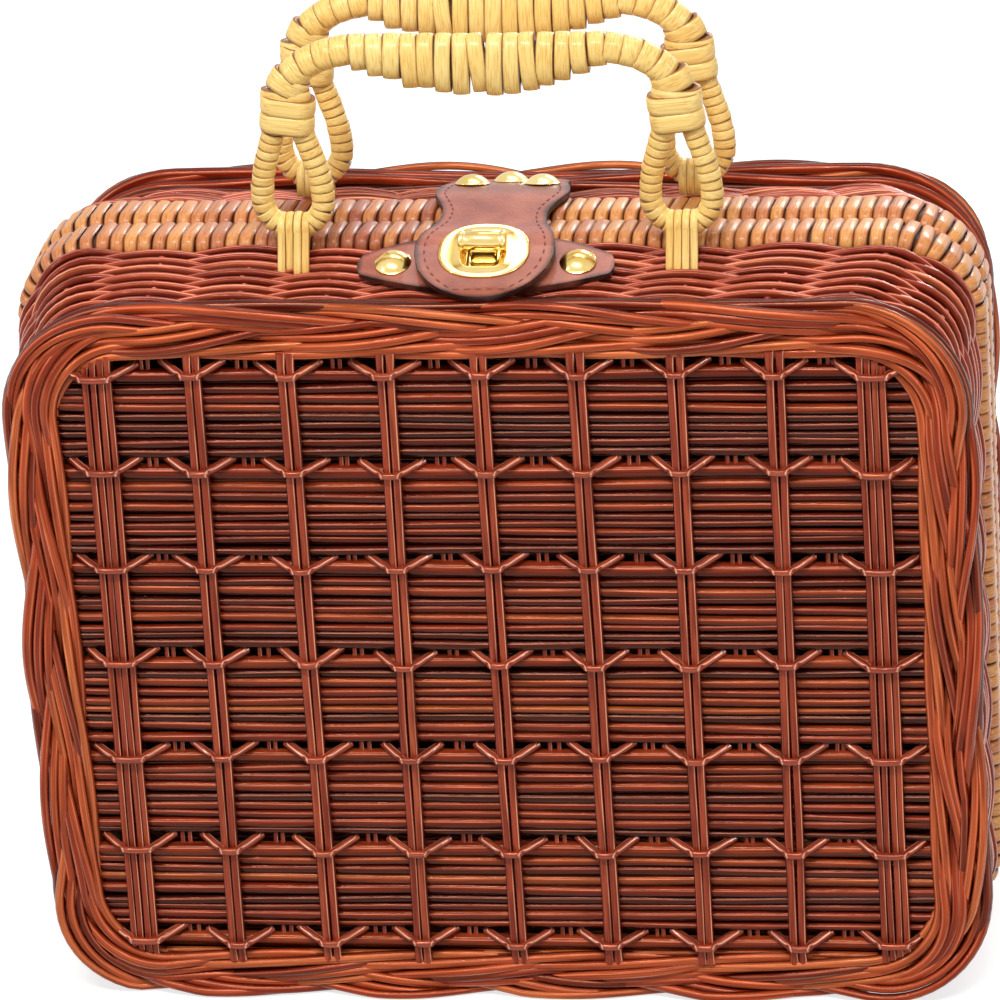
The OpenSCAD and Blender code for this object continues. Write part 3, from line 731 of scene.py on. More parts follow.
# %% Measure the face
BAYS = 6
COLUMNS = 9
COLUMN_PITCH = 25.6 * MM
PANEL_CORNER = 17.9 * MM
PANEL_TUCK = 2.5 * MM
panel_half = panel_high[0]
panel_height = panel_high[2] - panel_low[2]
panel_mid = (panel_high[2] + panel_low[2]) / 2
ridge_y = -panel_low[1]
row_shift = panel_height / BAYS / 8
twine_rows = [panel_low[2] + row_shift + (panel_height - 2 * row_shift) * row / BAYS
              for row in range(BAYS + 1)]
row_step = twine_rows[1] - twine_rows[0]
columns = [(i - (COLUMNS - 1) / 2) * COLUMN_PITCH for i in range(COLUMNS)]
print("a bay of the face is %.1f mm high" % (row_step / MM))


def corner_in(distance, half):
    """How far a round corner of the face comes in at a distance from its middle."""
    over = distance + PANEL_CORNER - half
    return PANEL_CORNER - math.sqrt(max(PANEL_CORNER ** 2 - over ** 2, 0)) if over > 0 else 0.0


# %% Rods across the face
BAY_RODS = 10
ROW_GAP_SHARE = 0.088
ROW_RAISE = 0.5 * MM
ROD_POINTS = 64
ROD_SLANT = 0.7 * MM
ROD_RISE = 0.28 * MM
ROD_SWAY = 0.22 * MM
ROD_SINK = 0.5 * MM
ROD_TAPER = 0.08
INNER_DEPTH = 3.4 * MM
INNER_ROD_R = 1.45 * MM
SEAM_SHADE_TONE = 0.1
INNER_EVERY = 7


def bay_rods(rng):
    """Heights and radii of a bay's rods, as shares of it: a wide one at its top, none above the row."""
    widths = [rng.uniform(0.75, 1.2) for _ in range(BAY_RODS - 2)] + [rng.uniform(1.35, 1.75)]
    scale = (1 - ROW_GAP_SHARE) / sum(widths)
    tops = ROW_GAP_SHARE + np.cumsum(widths) * scale
    return [(top - width * scale / 2, width * scale / 2) for top, width in zip(tops, widths)]


def panel_piece(side):
    rng = random.Random(11 + SIDES[side])
    chains = []
    for level in [twine_rows[0] - row_step] + twine_rows:
        for middle, half in bay_rods(rng):
            z = level + ROW_RAISE + middle * row_step
            if not panel_low[2] - PANEL_TUCK < z < panel_high[2] + PANEL_TUCK:
                continue
            thick = half * row_step * rng.uniform(1.0, 1.12)
            reach = panel_half + PANEL_TUCK - corner_in(abs(z - panel_mid), panel_height / 2)
            x = np.linspace(-reach, reach, ROD_POINTS)
            rise = wander(rng, 2 * reach, ROD_RISE)(x) + rng.uniform(-1, 1) * ROD_SLANT * x / reach
            out = wander(rng, 2 * reach, ROD_SWAY)(x) - rng.uniform(0, 1) * ROD_SINK
            points = np.stack([x, SIDES[side] * (ridge_y - thick + out), z + rise], axis=1)
            wide = half > ROW_GAP_SHARE * 0.6
            tone = rng.uniform(0.5, 0.95) if wide else rng.random() ** 1.25
            chains.append(chain(points, thick * (1 - ROD_TAPER * np.abs(x) / reach), tone))
            if middle - half > 1.5 * ROW_GAP_SHARE:
                seam = z - half * row_step + rise[::INNER_EVERY]
                deep = np.full(len(seam), SIDES[side] * (ridge_y - INNER_DEPTH))
                inner = np.stack([x[::INNER_EVERY], deep, seam], axis=1)
                # The inner rods share one dark tone, which is painted shade for the seams.
                chains.append(chain(inner, INNER_ROD_R, SEAM_SHADE_TONE))
    return rods_piece(side + "_face_rods", chains, 8, FACE_WILLOW)


# %% [markdown]
# ## Stakes and twining
# A column of the face is a pair of upright stakes, with a bundle of four thinner ones at each edge. A strand
# crosses every column at every row: it comes out of the gap, bends sharply over the stakes and goes back in.
# Halfway between two columns the ends of two inner stakes show in the gap.

# %% Stakes
STAKE_R = 1.3 * MM
EDGE_R = 1.05 * MM
EDGE_STAKES = 4
STAKE_LEAN = 1.2 * MM
STAKE_RISE = 0.16 * MM
STAKE_SWAY = 0.15 * MM
INNER_R = 0.6 * MM
INNER_SINK = 2.4 * MM
INNER_ENDS = (-0.5 * MM, 3.6 * MM)


def is_edge(column):
    return column in (0, COLUMNS - 1)


def stakes_piece(side):
    rng = random.Random(23 + SIDES[side])
    chains = []
    for i, middle in enumerate(columns):
        count, radius = (EDGE_STAKES, EDGE_R) if is_edge(i) else (2, STAKE_R)
        lean = rng.uniform(-1, 1) * STAKE_LEAN
        for j in range(count):
            x0 = middle + (j - (count - 1) / 2) * 1.9 * radius
            drop = corner_in(abs(x0) + radius, panel_half)
            z = np.linspace(panel_low[2] - PANEL_TUCK + drop, panel_high[2] + PANEL_TUCK - drop, 48)
            share = (z - panel_mid) / panel_height
            x = x0 + lean * share + wander(rng, panel_height, STAKE_RISE)(z)
            out = wander(rng, panel_height, STAKE_SWAY)(z)
            points = np.stack([x, SIDES[side] * (ridge_y + radius + out), z], axis=1)
            chains.append(chain(points, radius * rng.uniform(0.94, 1.04), rng.uniform(0.5, 0.9)))
        if i == COLUMNS - 1:
            continue
        for level in twine_rows:
            for shift in (-1.0, 1.0):
                x = middle + COLUMN_PITCH / 2 + (shift + rng.uniform(-0.3, 0.3)) * MM
                points = [(x, SIDES[side] * (ridge_y - INNER_SINK), level + end) for end in INNER_ENDS]
                chains.append(chain(points, INNER_R, rng.uniform(0.2, 0.8)))
    return rods_piece(side + "_stakes", chains, 10, STAKE_WILLOW)


# %% Twining
STRAND_R = 1.05 * MM
STRAND_RISE = 2.2 * MM
STRAND_REACH = 6.2 * MM
STRAND_BOW = (1.0, 0.5, 0.1, 0.0, -0.05, 0.0, 0.1, 0.5, 1.0)
STRAND_POINTS = 25
TRIPLE_SHARE = 0.04


def twining_piece(side):
    rng = random.Random(37 + SIDES[side])
    front = ridge_y + 2 * STAKE_R
    depths = [ridge_y - 2.6 * MM, ridge_y + 0.3 * MM, front - 0.6 * MM, front + 0.75 * STRAND_R]
    depths = depths + [front + 0.9 * STRAND_R] + depths[::-1]
    keys = range(len(STRAND_BOW))
    fine = np.linspace(0, keys[-1], STRAND_POINTS)
    chains = []
    for level in twine_rows:
        for i, middle in enumerate(columns):
            bar = (EDGE_STAKES * EDGE_R if is_edge(i) else 2 * STAKE_R) * 0.96
            drop = corner_in(abs(middle) + EDGE_STAKES * EDGE_R, panel_half) if is_edge(i) else 0.0
            z0 = min(max(level + rng.uniform(-0.6, 0.6) * MM, panel_low[2] + drop), panel_high[2] - drop)
            strands = 3 if rng.random() < TRIPLE_SHARE else 1
            for k in range(strands):
                rise = STRAND_RISE * rng.uniform(0.75, 1.1)
                reach = STRAND_REACH * rng.uniform(0.85, 1.1)
                left = [-bar - reach, -bar - 0.45 * reach, -bar - 0.3 * MM, -bar + 0.5 * MM]
                places = left + [0.0] + [-x for x in reversed(left)]
                heights = [rise * share for share in STRAND_BOW]
                path = np.stack([np.interp(fine, keys, line) for line in (places, depths, heights)], axis=1)
                path[1:-1] = (path[:-2] + 2 * path[1:-1] + path[2:]) / 4
                path[:, 0] += middle
                path[:, 1] *= SIDES[side]
                path[:, 2] += z0 + (k - (strands - 1) / 2) * 1.9 * STRAND_R
                thick = STRAND_R * rng.uniform(0.92, 1.1) * (1 + 0.15 * np.abs(fine - 4) / 4)
                chains.append(chain(path, thick, rng.uniform(0.3, 0.8)))
    return rods_piece(side + "_twining", chains, 8, TWINE_WILLOW)


# %% [markdown]
# ## The plaited border
# Round each face runs a plait of three flat bundles of rods that cross over each other in long waves, with a
# twisted rope along its inner edge and plain rods behind it, which take the darker tones as painted shade.
# A plait is a simple rule: every bundle swings from side to side, goes twice as fast up and down, and is a
# third of a wave behind the one before.

# %% Plait the border
PLAIT_WAVES = 6
PLAIT_SWING = 3.3 * MM
PLAIT_LIFT = 2.0 * MM
BUNDLE_RODS = 3
BUNDLE_STEP = 2.5 * MM
PLAIT_R = 1.3 * MM
PLAIT_PLACE = (1.3 * MM, 2.0 * MM)
ROPE_WAVES = 6
ROPE_PLACE = (-4.9 * MM, 2.2 * MM)
ROPE_SWING = 1.5 * MM
ROPE_R = 1.4 * MM
BACK_ROD_R = 1.6 * MM
FLOOR_CLEAR = 0.2 * MM
BACK_RODS = [(6.2, -0.4), (5.3, -3.0), (3.6, -5.2), (0.4, -5.6), (-3.2, -4.4)]


def border_piece(side):
    rng = random.Random(53 + SIDES[side])
    path, normal, run, total = round_path(border_width, BORDER_BOTTOM, border_top, BORDER_CORNER, 2.8 * MM)
    wave = 2 * math.pi * run / total
    chains = []

    def lay(out, front, radius, tone):
        flat = path + normal * np.asarray(out)[:, None]
        z = np.maximum(flat[:, 1], radius + FLOOR_CLEAR)
        points = np.stack([flat[:, 0], SIDES[side] * (border_y + front), z], axis=1)
        chains.append(chain(points, radius, tone, closed=True))

    for bundle in range(3):
        beat = PLAIT_WAVES * wave + bundle * 2 * math.pi / 3
        tilt = 0.55 * np.cos(beat)
        for k in range(BUNDLE_RODS):
            step = (k - (BUNDLE_RODS - 1) / 2) * BUNDLE_STEP
            loose = 0.45 * MM * np.sin(rng.randint(5, 14) * wave + phase(rng))
            out = PLAIT_PLACE[0] + PLAIT_SWING * np.sin(beat) + step * np.cos(tilt) + loose
            front = PLAIT_PLACE[1] + PLAIT_LIFT * np.sin(2 * beat) + step * np.sin(tilt) - loose
            lay(out, front, PLAIT_R * rng.uniform(0.85, 1.15), rng.uniform(0.1, 1.0))
    for strand in range(3):
        beat = ROPE_WAVES * wave + strand * 2 * math.pi / 3
        out, front = ROPE_PLACE[0] + ROPE_SWING * np.cos(beat), ROPE_PLACE[1] + ROPE_SWING * np.sin(beat)
        lay(out, front, ROPE_R, rng.uniform(0.4, 1.0))
    # The rods behind take only the darker half of the tones, as painted shade behind the plait.
    for out, front in BACK_RODS:
        loose = 0.7 * MM * np.sin(rng.randint(5, 11) * wave + phase(rng))
        lay(out * MM + loose, front * MM + loose, BACK_ROD_R, rng.uniform(0.0, 0.5))
    return rods_piece(side + "_plait", chains, 9, BORDER_WILLOW)


# %% [markdown]
# ## The woven wall
# The side of a tray is plain weave: each rod passes in front of one wall stake and behind the next, and the
# rod beside it does the opposite. So every second rod shows as a row of humps.

# %% Weave the wall
WALL_ROWS = 14
WALL_WAVES = 18
WALL_R = 1.2 * MM
WALL_SWING = 1.45 * MM
WALL_OUT = 3.0 * MM
WALL_STEP = 3.0 * MM
WALL_STAKE_R = 0.9 * WALL_R
wall_start = -wall_low[1]
wall_end = -wall_high[1]


def wall_section(share):
    """Width, low, high and corner of the wall's middle line, from the border (0) to the rim (1)."""
    start = (border_width + 2 * WALL_OUT, rim_bottom, border_top + WALL_OUT, BORDER_CORNER + WALL_OUT)
    end = (rim_width, rim_bottom, rim_top, RIM_CORNER)
    return [a + (b - a) * share for a, b in zip(start, end)]


def wall_piece(side):
    rng = random.Random(71 + SIDES[side])
    chains = []
    for row in range(WALL_ROWS):
        share = (row + 0.5) / WALL_ROWS
        path, normal, run, total = round_path(*wall_section(share), WALL_STEP)
        wave = 2 * math.pi * run / total
        beat = WALL_WAVES * wave + row * math.pi
        loose = 0.25 * MM * np.sin(rng.randint(4, 12) * wave + phase(rng))
        flat = path + normal * (WALL_SWING * np.cos(beat) + loose)[:, None]
        y = wall_start + (wall_end - wall_start) * share + 1.5 * loose
        points = np.stack([flat[:, 0], SIDES[side] * y, flat[:, 1]], axis=1)
        chains.append(chain(points, WALL_R * rng.uniform(0.9, 1.08), rng.random(), closed=True))
    shares = np.linspace(0, 1, 7)
    rings = [round_path(*wall_section(share), WALL_STEP)[0] for share in shares]
    for k in range(2 * WALL_WAVES):
        points = []
        for share, path in zip(shares, rings):
            spot = path[int(k / (2 * WALL_WAVES) * len(path))]
            points.append((spot[0], SIDES[side] * (wall_start + (wall_end - wall_start) * share), spot[1]))
        chains.append(chain(points, WALL_STAKE_R, rng.uniform(0.0, 0.6)))
    return rods_piece(side + "_weave", chains, 8, WALL_WILLOW)


# %% [markdown]
# ## The bound rims
# Each rim is a flat hoop bound with cane from end to end. The turns lean a little, as a wound strip does, and
# each has its own tone. Beside the hasp, hands and wear have stained the cane. The binding stays open where
# the hinge ties hold the hoops.

# %% Bind the rims
TURN_PITCH = 3.9 * MM
TURN_WIDTH = 3.85 * MM
TURN_LEAN = 0.12
HINGE_X = 70 * MM
HINGE_ROOM = 7.0 * MM
STAIN_X = -35.0 * MM
STAIN_WIDE = 45.0 * MM
STAIN_TONE = 0.45
rim_turn = ring_mesh("rim_turn", flat_outline(rim_depth / 2, RIM_THICK / 2, 26), crown=0.12, thick=0.22)


def along_path(tangent, lean_z=0.0, lean_y=0.0):
    """Rotation that lays a turn's X axis along a tangent in the XZ plane."""
    turn = Matrix.Rotation(-math.atan2(tangent[1], tangent[0]), 3, "Y")
    return turn @ Matrix.Rotation(lean_z, 3, "Z") @ Matrix.Rotation(lean_y, 3, "Y")


def rim_piece(side):
    rng = random.Random(89 + SIDES[side])
    path, normal, _, _ = round_path(rim_width, rim_bottom, rim_top, RIM_CORNER, TURN_PITCH)
    places = []
    for spot, out in zip(path, normal):
        if spot[1] < rim_bottom + MM and abs(abs(spot[0]) - HINGE_X) < HINGE_ROOM:
            continue
        spin = along_path((-out[1], out[0]), TURN_LEAN + rng.uniform(-0.05, 0.05), rng.uniform(-0.04, 0.04))
        swell = rng.uniform(0.97, 1.0)
        size = (TURN_WIDTH * rng.uniform(0.95, 1.05), swell, swell)
        tone = rng.uniform(0.3, 0.95)
        if spot[1] > rim_top - MM:
            tone -= STAIN_TONE * math.exp(-((spot[0] - STAIN_X) / STAIN_WIDE) ** 2)
        places.append(((spot[0], SIDES[side] * rim_y, spot[1]), spin, size, tone))
    return turns_piece(side + "_rim_turns", rim_turn, places, RIM_CANE)


# %% Make both trays
TRAY_PIECES = [
    (panel_piece, "_panel", "willow"), (stakes_piece, "_panel_stakes", "willow"),
    (twining_piece, "_panel_twining", "willow_border"), (border_piece, "_border", "willow_border"),
    (wall_piece, "_wall", "willow"), (rim_piece, "_rim_binding", "rim_cane")]


def hand_over(piece, body, slot, *nodes):
    """Gives a finished piece its body and hides the solids that it stands for. The slot is not used."""
    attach(piece, body)
    if nodes:
        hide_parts(*nodes)


for side in SIDES:
    for make_piece, node, slot in TRAY_PIECES:
        hand_over(make_piece(side), side + "_tray", slot, side + node)
    frame["nodes"][side + "_rim_hoop"].material_slots[0].material = HOOP_WOOD

# %% [markdown]
# ## The handles
# A handle is a bent core wound with cane. At each end the core splits into a teardrop loop, closed above by a
# wide collar. The turns stand square to the core, so the path gives each one its place and its direction, and
# the grip's turns grow towards its middle into a belly with a stepped lower edge.

# %% Handle paths
LOOP_X = 51.5 * MM
LOOP_R = 8.1 * MM
STRAND_WIDTH = 6.2 * MM
NECK_Z = 30.0 * MM
NECK_X = 3.2 * MM
STEM_TOP = 37.5 * MM
ARM_Z = 45.0 * MM
BEND_X = 20.0 * MM
BEND_Z = 13.5 * MM
BAR_TOP = 54.7 * MM
BAR_HEIGHT = 8.8 * MM
BELLY_HEIGHT = 17.0 * MM
GRIP_THICK = 9.6 * MM
GRIP_FLAT_SHARE = 0.2
BELLY_HALF = 40.0 * MM
BAR_T_SHARE = 0.88
ARM_R = 4.1 * MM
STEM_SPREAD = 2.6 * MM
STEM_THIN = 0.1 * MM
bar_z = BAR_TOP - BAR_HEIGHT / 2
grip_half = LOOP_X - BEND_X


def resample(points, step):
    """Even steps along a polyline, each with its direction."""
    points = np.asarray(points)
    run = np.concatenate([[0], np.cumsum(np.linalg.norm(np.diff(points, axis=0), axis=1))])
    count = int(round(run[-1] / step))
    at = (np.arange(count) + 0.5) * run[-1] / count
    even = np.stack([np.interp(at, run, points[:, k]) for k in range(2)], axis=1)
    ahead = np.stack([np.interp(at + step / 4, run, points[:, k]) for k in range(2)], axis=1)
    return even, ahead - even


def arc(cx, cz, radius_x, radius_z, start, stop, count=24):
    angles = np.radians(np.linspace(start, stop, count))
    return [(cx + radius_x * math.cos(a), cz + radius_z * math.sin(a)) for a in angles]


def loop_path():
    """Teardrop from the neck down one bowed leg, round the foot and up the other leg."""
    leg = []
    for t in np.linspace(0, 1, 20)[1:]:
        pulls = ((1 - t) ** 3, 3 * t * (1 - t) ** 2, 3 * t ** 2 * (1 - t), t ** 3)
        x = np.dot(pulls, (LOOP_R, LOOP_R, NECK_X + 2 * MM, NECK_X))
        z = np.dot(pulls, (LOOP_R, 2.0 * LOOP_R, NECK_Z - LOOP_R, NECK_Z))
        leg.append((x, z))
    return [(-x, z) for x, z in reversed(leg)] + arc(0, LOOP_R, LOOP_R, LOOP_R, 180, 360) + leg


def arch_path():
    """From one stem up, over the bar and down to the other stem."""
    left = arc(-grip_half, bar_z - BEND_Z, BEND_X, BEND_Z, 180, 90)
    right = arc(grip_half, bar_z - BEND_Z, BEND_X, BEND_Z, 90, 0)
    return [(-LOOP_X, NECK_Z)] + left + right + [(LOOP_X, NECK_Z)]


def grip_height(x):
    """Height of the grip's turn at a distance from its middle."""
    ease = (1 - abs(x) / BELLY_HALF) / (1 - GRIP_FLAT_SHARE) - GRIP_FLAT_SHARE
    return BAR_HEIGHT + (BELLY_HEIGHT - BAR_HEIGHT) * math.sin(math.pi / 2 * min(max(ease, 0), 1))


# %% Wind the handles
LOOP_PITCH = 2.5 * MM
GRIP_PITCH = 4.4 * MM
ARM_OVERLAP = 1.22
COLLAR_HALF = (7.4 * MM, 4.5 * MM)
COLLAR_LEAN = 0.12
COLLAR_FOOT = 30.0 * MM
COLLAR_TURNS = [(30.3 * MM, 5.2 * MM), (35.0 * MM, 4.9 * MM)]
collar_outline = [(z, y) for y, z in flat_outline(*COLLAR_HALF, 26)]
round_turn = ring_mesh("round_turn", round_outline(20), crown=0.035, thick=0.3)
collar_turn = ring_mesh("collar_turn", collar_outline, crown=0.05, thick=0.2)


def handle_places(rng, pivot_y, pivot_z):
    places = []
    for centre in (-LOOP_X, LOOP_X):
        for spot, way in zip(*resample(loop_path(), LOOP_PITCH)):
            radius = STRAND_WIDTH / 2 * rng.uniform(0.95, 1.02)
            spin = along_path(way, 0.1, rng.uniform(-0.06, 0.06))
            place = (centre + spot[0], pivot_y, pivot_z + spot[1])
            places.append((place, spin, (LOOP_PITCH * 1.03, radius, radius), rng.uniform(0.4, 0.9)))
    for spot, way in zip(*resample(arch_path(), GRIP_PITCH)):
        lift, half_y, half_z, wide = spot[1], ARM_R, ARM_R, ARM_OVERLAP
        if spot[1] < ARM_Z:
            spread = min(1, (ARM_Z - spot[1]) / (ARM_Z - STEM_TOP))
            half_z = ARM_R + STEM_SPREAD * spread
            half_y = ARM_R - STEM_THIN * spread
        elif abs(spot[0]) < grip_half:
            height = grip_height(spot[0]) + rng.uniform(-0.6, 0.6) * MM
            half_z = height / 2
            half_y = min(BAR_T_SHARE * height, GRIP_THICK) / 2
            lift = BAR_TOP - height / 2 + rng.uniform(-0.25, 0.0) * MM
            wide = rng.uniform(0.94, 1.07)
        spin = along_path(way, 0.06 + rng.uniform(-0.05, 0.05), rng.uniform(-0.09, 0.06))
        place = (spot[0], pivot_y, pivot_z + lift)
        places.append((place, spin, (GRIP_PITCH * wide, half_y, half_z), rng.uniform(0.45, 0.95)))
    return places


def collar_places(rng, pivot_y, pivot_z):
    places = []
    for centre in (-LOOP_X, LOOP_X):
        inward = math.copysign(COLLAR_LEAN, -centre)
        for height, width in COLLAR_TURNS:
            spin = along_path((inward, 1), 0.0, rng.uniform(-0.05, 0.05))
            place = (centre + inward * (height - COLLAR_FOOT), pivot_y, pivot_z + height)
            places.append((place, spin, (width, 1.0, 1.0), rng.uniform(0.6, 0.9)))
    return places


for side in SIDES:
    rng = random.Random(101 + SIDES[side])
    pivot = JOINTS[side + "_handle_fold"]["pos_m"][1:]
    wound = turns_piece(side + "_handle_turns", round_turn, handle_places(rng, *pivot), HANDLE_CANE)
    collars = turns_piece(side + "_handle_collar_turns", collar_turn, collar_places(rng, *pivot), HANDLE_CANE)
    hand_over(wound, side + "_grip", "handle_cane", side + "_handle")
    hand_over(collars, side + "_grip", "handle_cane", side + "_handle_collars")

# %% [markdown]
# ## Cane ties
# A loop is held by a few strips of cane that come out of the wall, pass over the loop's foot and go back in
# on its other side. A strip is lofted along its path with a cambered section, all in one plane, so its width
# keeps to X. The two hinge ties at the bottom are strips too, wound round both hoops. They are drawn in
# between the hoops, as a wound strip is, and so they stay clear of the back wall when the bag is open.

# %% Loft a strip
STRIP_T = 0.9 * MM
STRIP_SECTION = [(-1, -0.5), (-0.9, 0.25), (-0.45, 0.5), (0.0, 0.56), (0.45, 0.5), (0.9, 0.25), (1, -0.5)]


def strip_mesh(name, strips, finish):
    """Strips as (centre x, width, tone, path of (y, z) points), lofted with a cambered section."""
    verts, faces, across_values, along_values, tone_values = [], [], [], [], []
    count = len(STRIP_SECTION)
    for centre, width, tone, path in strips:
        path = np.asarray(path)
        way = np.gradient(path, axis=0)
        way /= np.linalg.norm(way, axis=1)[:, None]
        first = len(verts)
        for i, ((y, z), (wy, wz)) in enumerate(zip(path, way)):
            for across, up in STRIP_SECTION:
                verts.append((centre + across * width / 2, y - wz * up * STRIP_T, z + wy * up * STRIP_T))
                across_values.append(across)
                along_values.append(i / len(path))
                tone_values.append(tone)
        for i in range(len(path) - 1):
            for j in range(count):
                k = (j + 1) % count
                a = first + i * count
                faces.append((a + j, a + count + j, a + count + k, a + k))
        faces.append(tuple(range(first, first + count)))
        faces.append(tuple(reversed(range(len(verts) - count, len(verts)))))
    return surface(name, verts, faces, finish, across=across_values, along=along_values, tone=tone_values)


def surface(name, verts, faces, finish, **attributes):
    """A smooth mesh object with point attributes and outward faces."""
    mesh = bpy.data.meshes.new(name)
    mesh.from_pydata([tuple(v) for v in verts], [], faces)
    for label, values in attributes.items():
        mesh.attributes.new(label, "FLOAT", "POINT").data.foreach_set("value", values)
    mesh.materials.append(finish)
    piece = bpy.data.objects.new(name, mesh)
    bpy.context.scene.collection.objects.link(piece)
    outward(piece)
    return piece


def outward(piece):
    """Turns every face of a closed mesh outwards and shades it smooth."""
    bpy.context.view_layer.objects.active = piece
    bpy.ops.object.mode_set(mode="EDIT")
    bpy.ops.mesh.select_all(action="SELECT")
    bpy.ops.mesh.normals_make_consistent(inside=False)
    bpy.ops.object.mode_set(mode="OBJECT")
    piece.data.polygons.foreach_set("use_smooth", [True] * len(piece.data.polygons))


# %% Lay the ties
TIE_STRIPS = 4
TIE_WIDTH = 8.6 * MM
TIE_FOOT = [(0.0, -5.0), (0.4, -1.0), (1.6, 1.2)]
TIE_BACK = 4.0 * MM
HINGE_STRIPS = 3
HINGE_WIDTH = 8.0 * MM
HINGE_R = 5.6 * MM
HINGE_WAIST = 2.0 * MM
slope = math.atan2(-JOINTS["lock_turn"]["axis"][1], JOINTS["lock_turn"]["axis"][2])
clasp_y, clasp_z = JOINTS["lock_turn"]["pos_m"][1:]


def wall_height(y):
    """Height of the top wall's outer face at a distance from the parting plane."""
    return clasp_z + (y - clasp_y) * math.tan(slope)


def ties_piece(side):
    rng = random.Random(131 + SIDES[side])
    pivot_y, pivot_z = JOINTS["front_handle_fold"]["pos_m"][1:]
    strips = []
    step = TIE_WIDTH / TIE_STRIPS
    for centre in (-LOOP_X, LOOP_X):
        for k in range(TIE_STRIPS):
            radius = STRAND_WIDTH / 2 + rng.uniform(0.5, 0.8) * MM
            front = pivot_y - rng.uniform(7.0, 9.0) * MM
            low = wall_height(front)
            path = [(front + ahead * MM, low + up * MM) for ahead, up in TIE_FOOT]
            path += arc(pivot_y, pivot_z, radius, radius, 185, 0, 15)
            path += [(pivot_y + TIE_BACK, pivot_z - TIE_BACK)]
            path = [(-SIDES[side] * y, z) for y, z in path]
            x = centre + (k - (TIE_STRIPS - 1) / 2) * step
            strips.append((x, step * rng.uniform(0.94, 1.04), rng.random(), path))
    return strip_mesh(side + "_tie_strips", strips, HANDLE_CANE)


def hinge_piece():
    """Strips wound round both hoops at the bottom and drawn in between them, which are the bag's hinge."""
    rng = random.Random(149)
    back = arc(rim_y, rim_bottom, HINGE_R, HINGE_R, 130, -130, 21)
    front = [(-y, 2 * rim_bottom - z) for y, z in back]
    over, under = (0, rim_bottom + HINGE_WAIST), (0, rim_bottom - HINGE_WAIST)
    path = [over] + back + [under] + front + [over]
    step = HINGE_WIDTH / HINGE_STRIPS
    strips = [(centre + (k - (HINGE_STRIPS - 1) / 2) * step, 0.97 * step, rng.random(), path)
              for centre in (-HINGE_X, HINGE_X) for k in range(HINGE_STRIPS)]
    return strip_mesh("hinge_strips", strips, RIM_CANE)


for side in SIDES:
    hand_over(ties_piece(side), side + "_tray", "handle_cane", side + "_handle_ties")
hand_over(hinge_piece(), "front_tray", "rim_cane", "hinge_ties")
print("ties laid at a slope of %.1f degrees" % math.degrees(slope))

# %% [markdown]
# ## The leather hasp and its wing plate
# The hasp is one strip of leather: a round tongue on the front tray, a neck over the two rims and a wide base
# on the back tray. It is lofted in plan from its half width at each station, dropped onto a smooth bend line
# over the rims, and then given its thickness and a soft edge by modifiers.

# %% Leather outlines
LEATHER_T = 1.8 * MM
TONGUE_R = 18.5 * MM
NECK_HALF = 14.0 * MM
BASE_HALF = 18.0 * MM
BASE_LONG = 17.0 * MM
BASE_CORNER = 6.0 * MM
BASE_TAPER = 2.0 * MM
NECK_AT = -6.0 * MM
FLARE_FROM = -4.0 * MM
FLARE_TO = 12.0 * MM
TAPER_TO = 26.0 * MM
TONGUE_RISE = 3.8 * MM
NECK_CLEAR = 0.8 * MM
BEND_WINDOW = 31
tip, base_end = clasp_y - TONGUE_R, -clasp_y + BASE_LONG / 2


def clasp_point(x, y, z, back=False):
    """A point of the clasp's own frame (across, up the slope, out of the wall) in the bag's frame."""
    world_y = clasp_y + y * math.cos(slope) - z * math.sin(slope)
    world_z = clasp_z + y * math.sin(slope) + z * math.cos(slope)
    return (x, -world_y if back else world_y, world_z)


def smooth_step(value, low, high):
    share = min(max((value - low) / (high - low), 0.0), 1.0)
    return share * share * (3 - 2 * share)


def hasp_half(y):
    """Half width of the hasp at a place across the bag, from the tongue's tip to the base's end."""
    if y < clasp_y:
        return math.sqrt(max(TONGUE_R ** 2 - (y - clasp_y) ** 2, 0))
    half = TONGUE_R + (NECK_HALF - TONGUE_R) * smooth_step(y, clasp_y, NECK_AT)
    half += (BASE_HALF - NECK_HALF) * smooth_step(y, FLARE_FROM, FLARE_TO)
    half -= BASE_TAPER * smooth_step(y, FLARE_TO, TAPER_TO)
    corner = y - (base_end - BASE_CORNER)
    if corner > 0:
        half -= BASE_CORNER - math.sqrt(max(BASE_CORNER ** 2 - corner ** 2, 0))
    return half


def hasp_line():
    """Bend line of the hasp's middle layer over the rims, smoothed, as (y, z) points."""
    rise = TONGUE_RISE + LEATHER_T / 2
    over = rim_high[2] + NECK_CLEAR + LEATHER_T / 2
    keys = [clasp_point(0, -1.4 * TONGUE_R, rise), clasp_point(0, 6.5 * MM, rise), (0, -1.5 * rim_y, over),
            (0, rim_y, over), clasp_point(0, 8.5 * MM, LEATHER_T / 2, back=True),
            clasp_point(0, -BASE_LONG, LEATHER_T / 2, back=True)]
    y = np.linspace(keys[0][1], keys[-1][1], 400)
    z = np.interp(y, [k[1] for k in keys], [k[2] for k in keys])
    padded = np.pad(z, BEND_WINDOW // 2, mode="reflect", reflect_type="odd")
    return y, np.convolve(padded, np.full(BEND_WINDOW, 1 / BEND_WINDOW), mode="valid")


# %% Loft a leather sheet


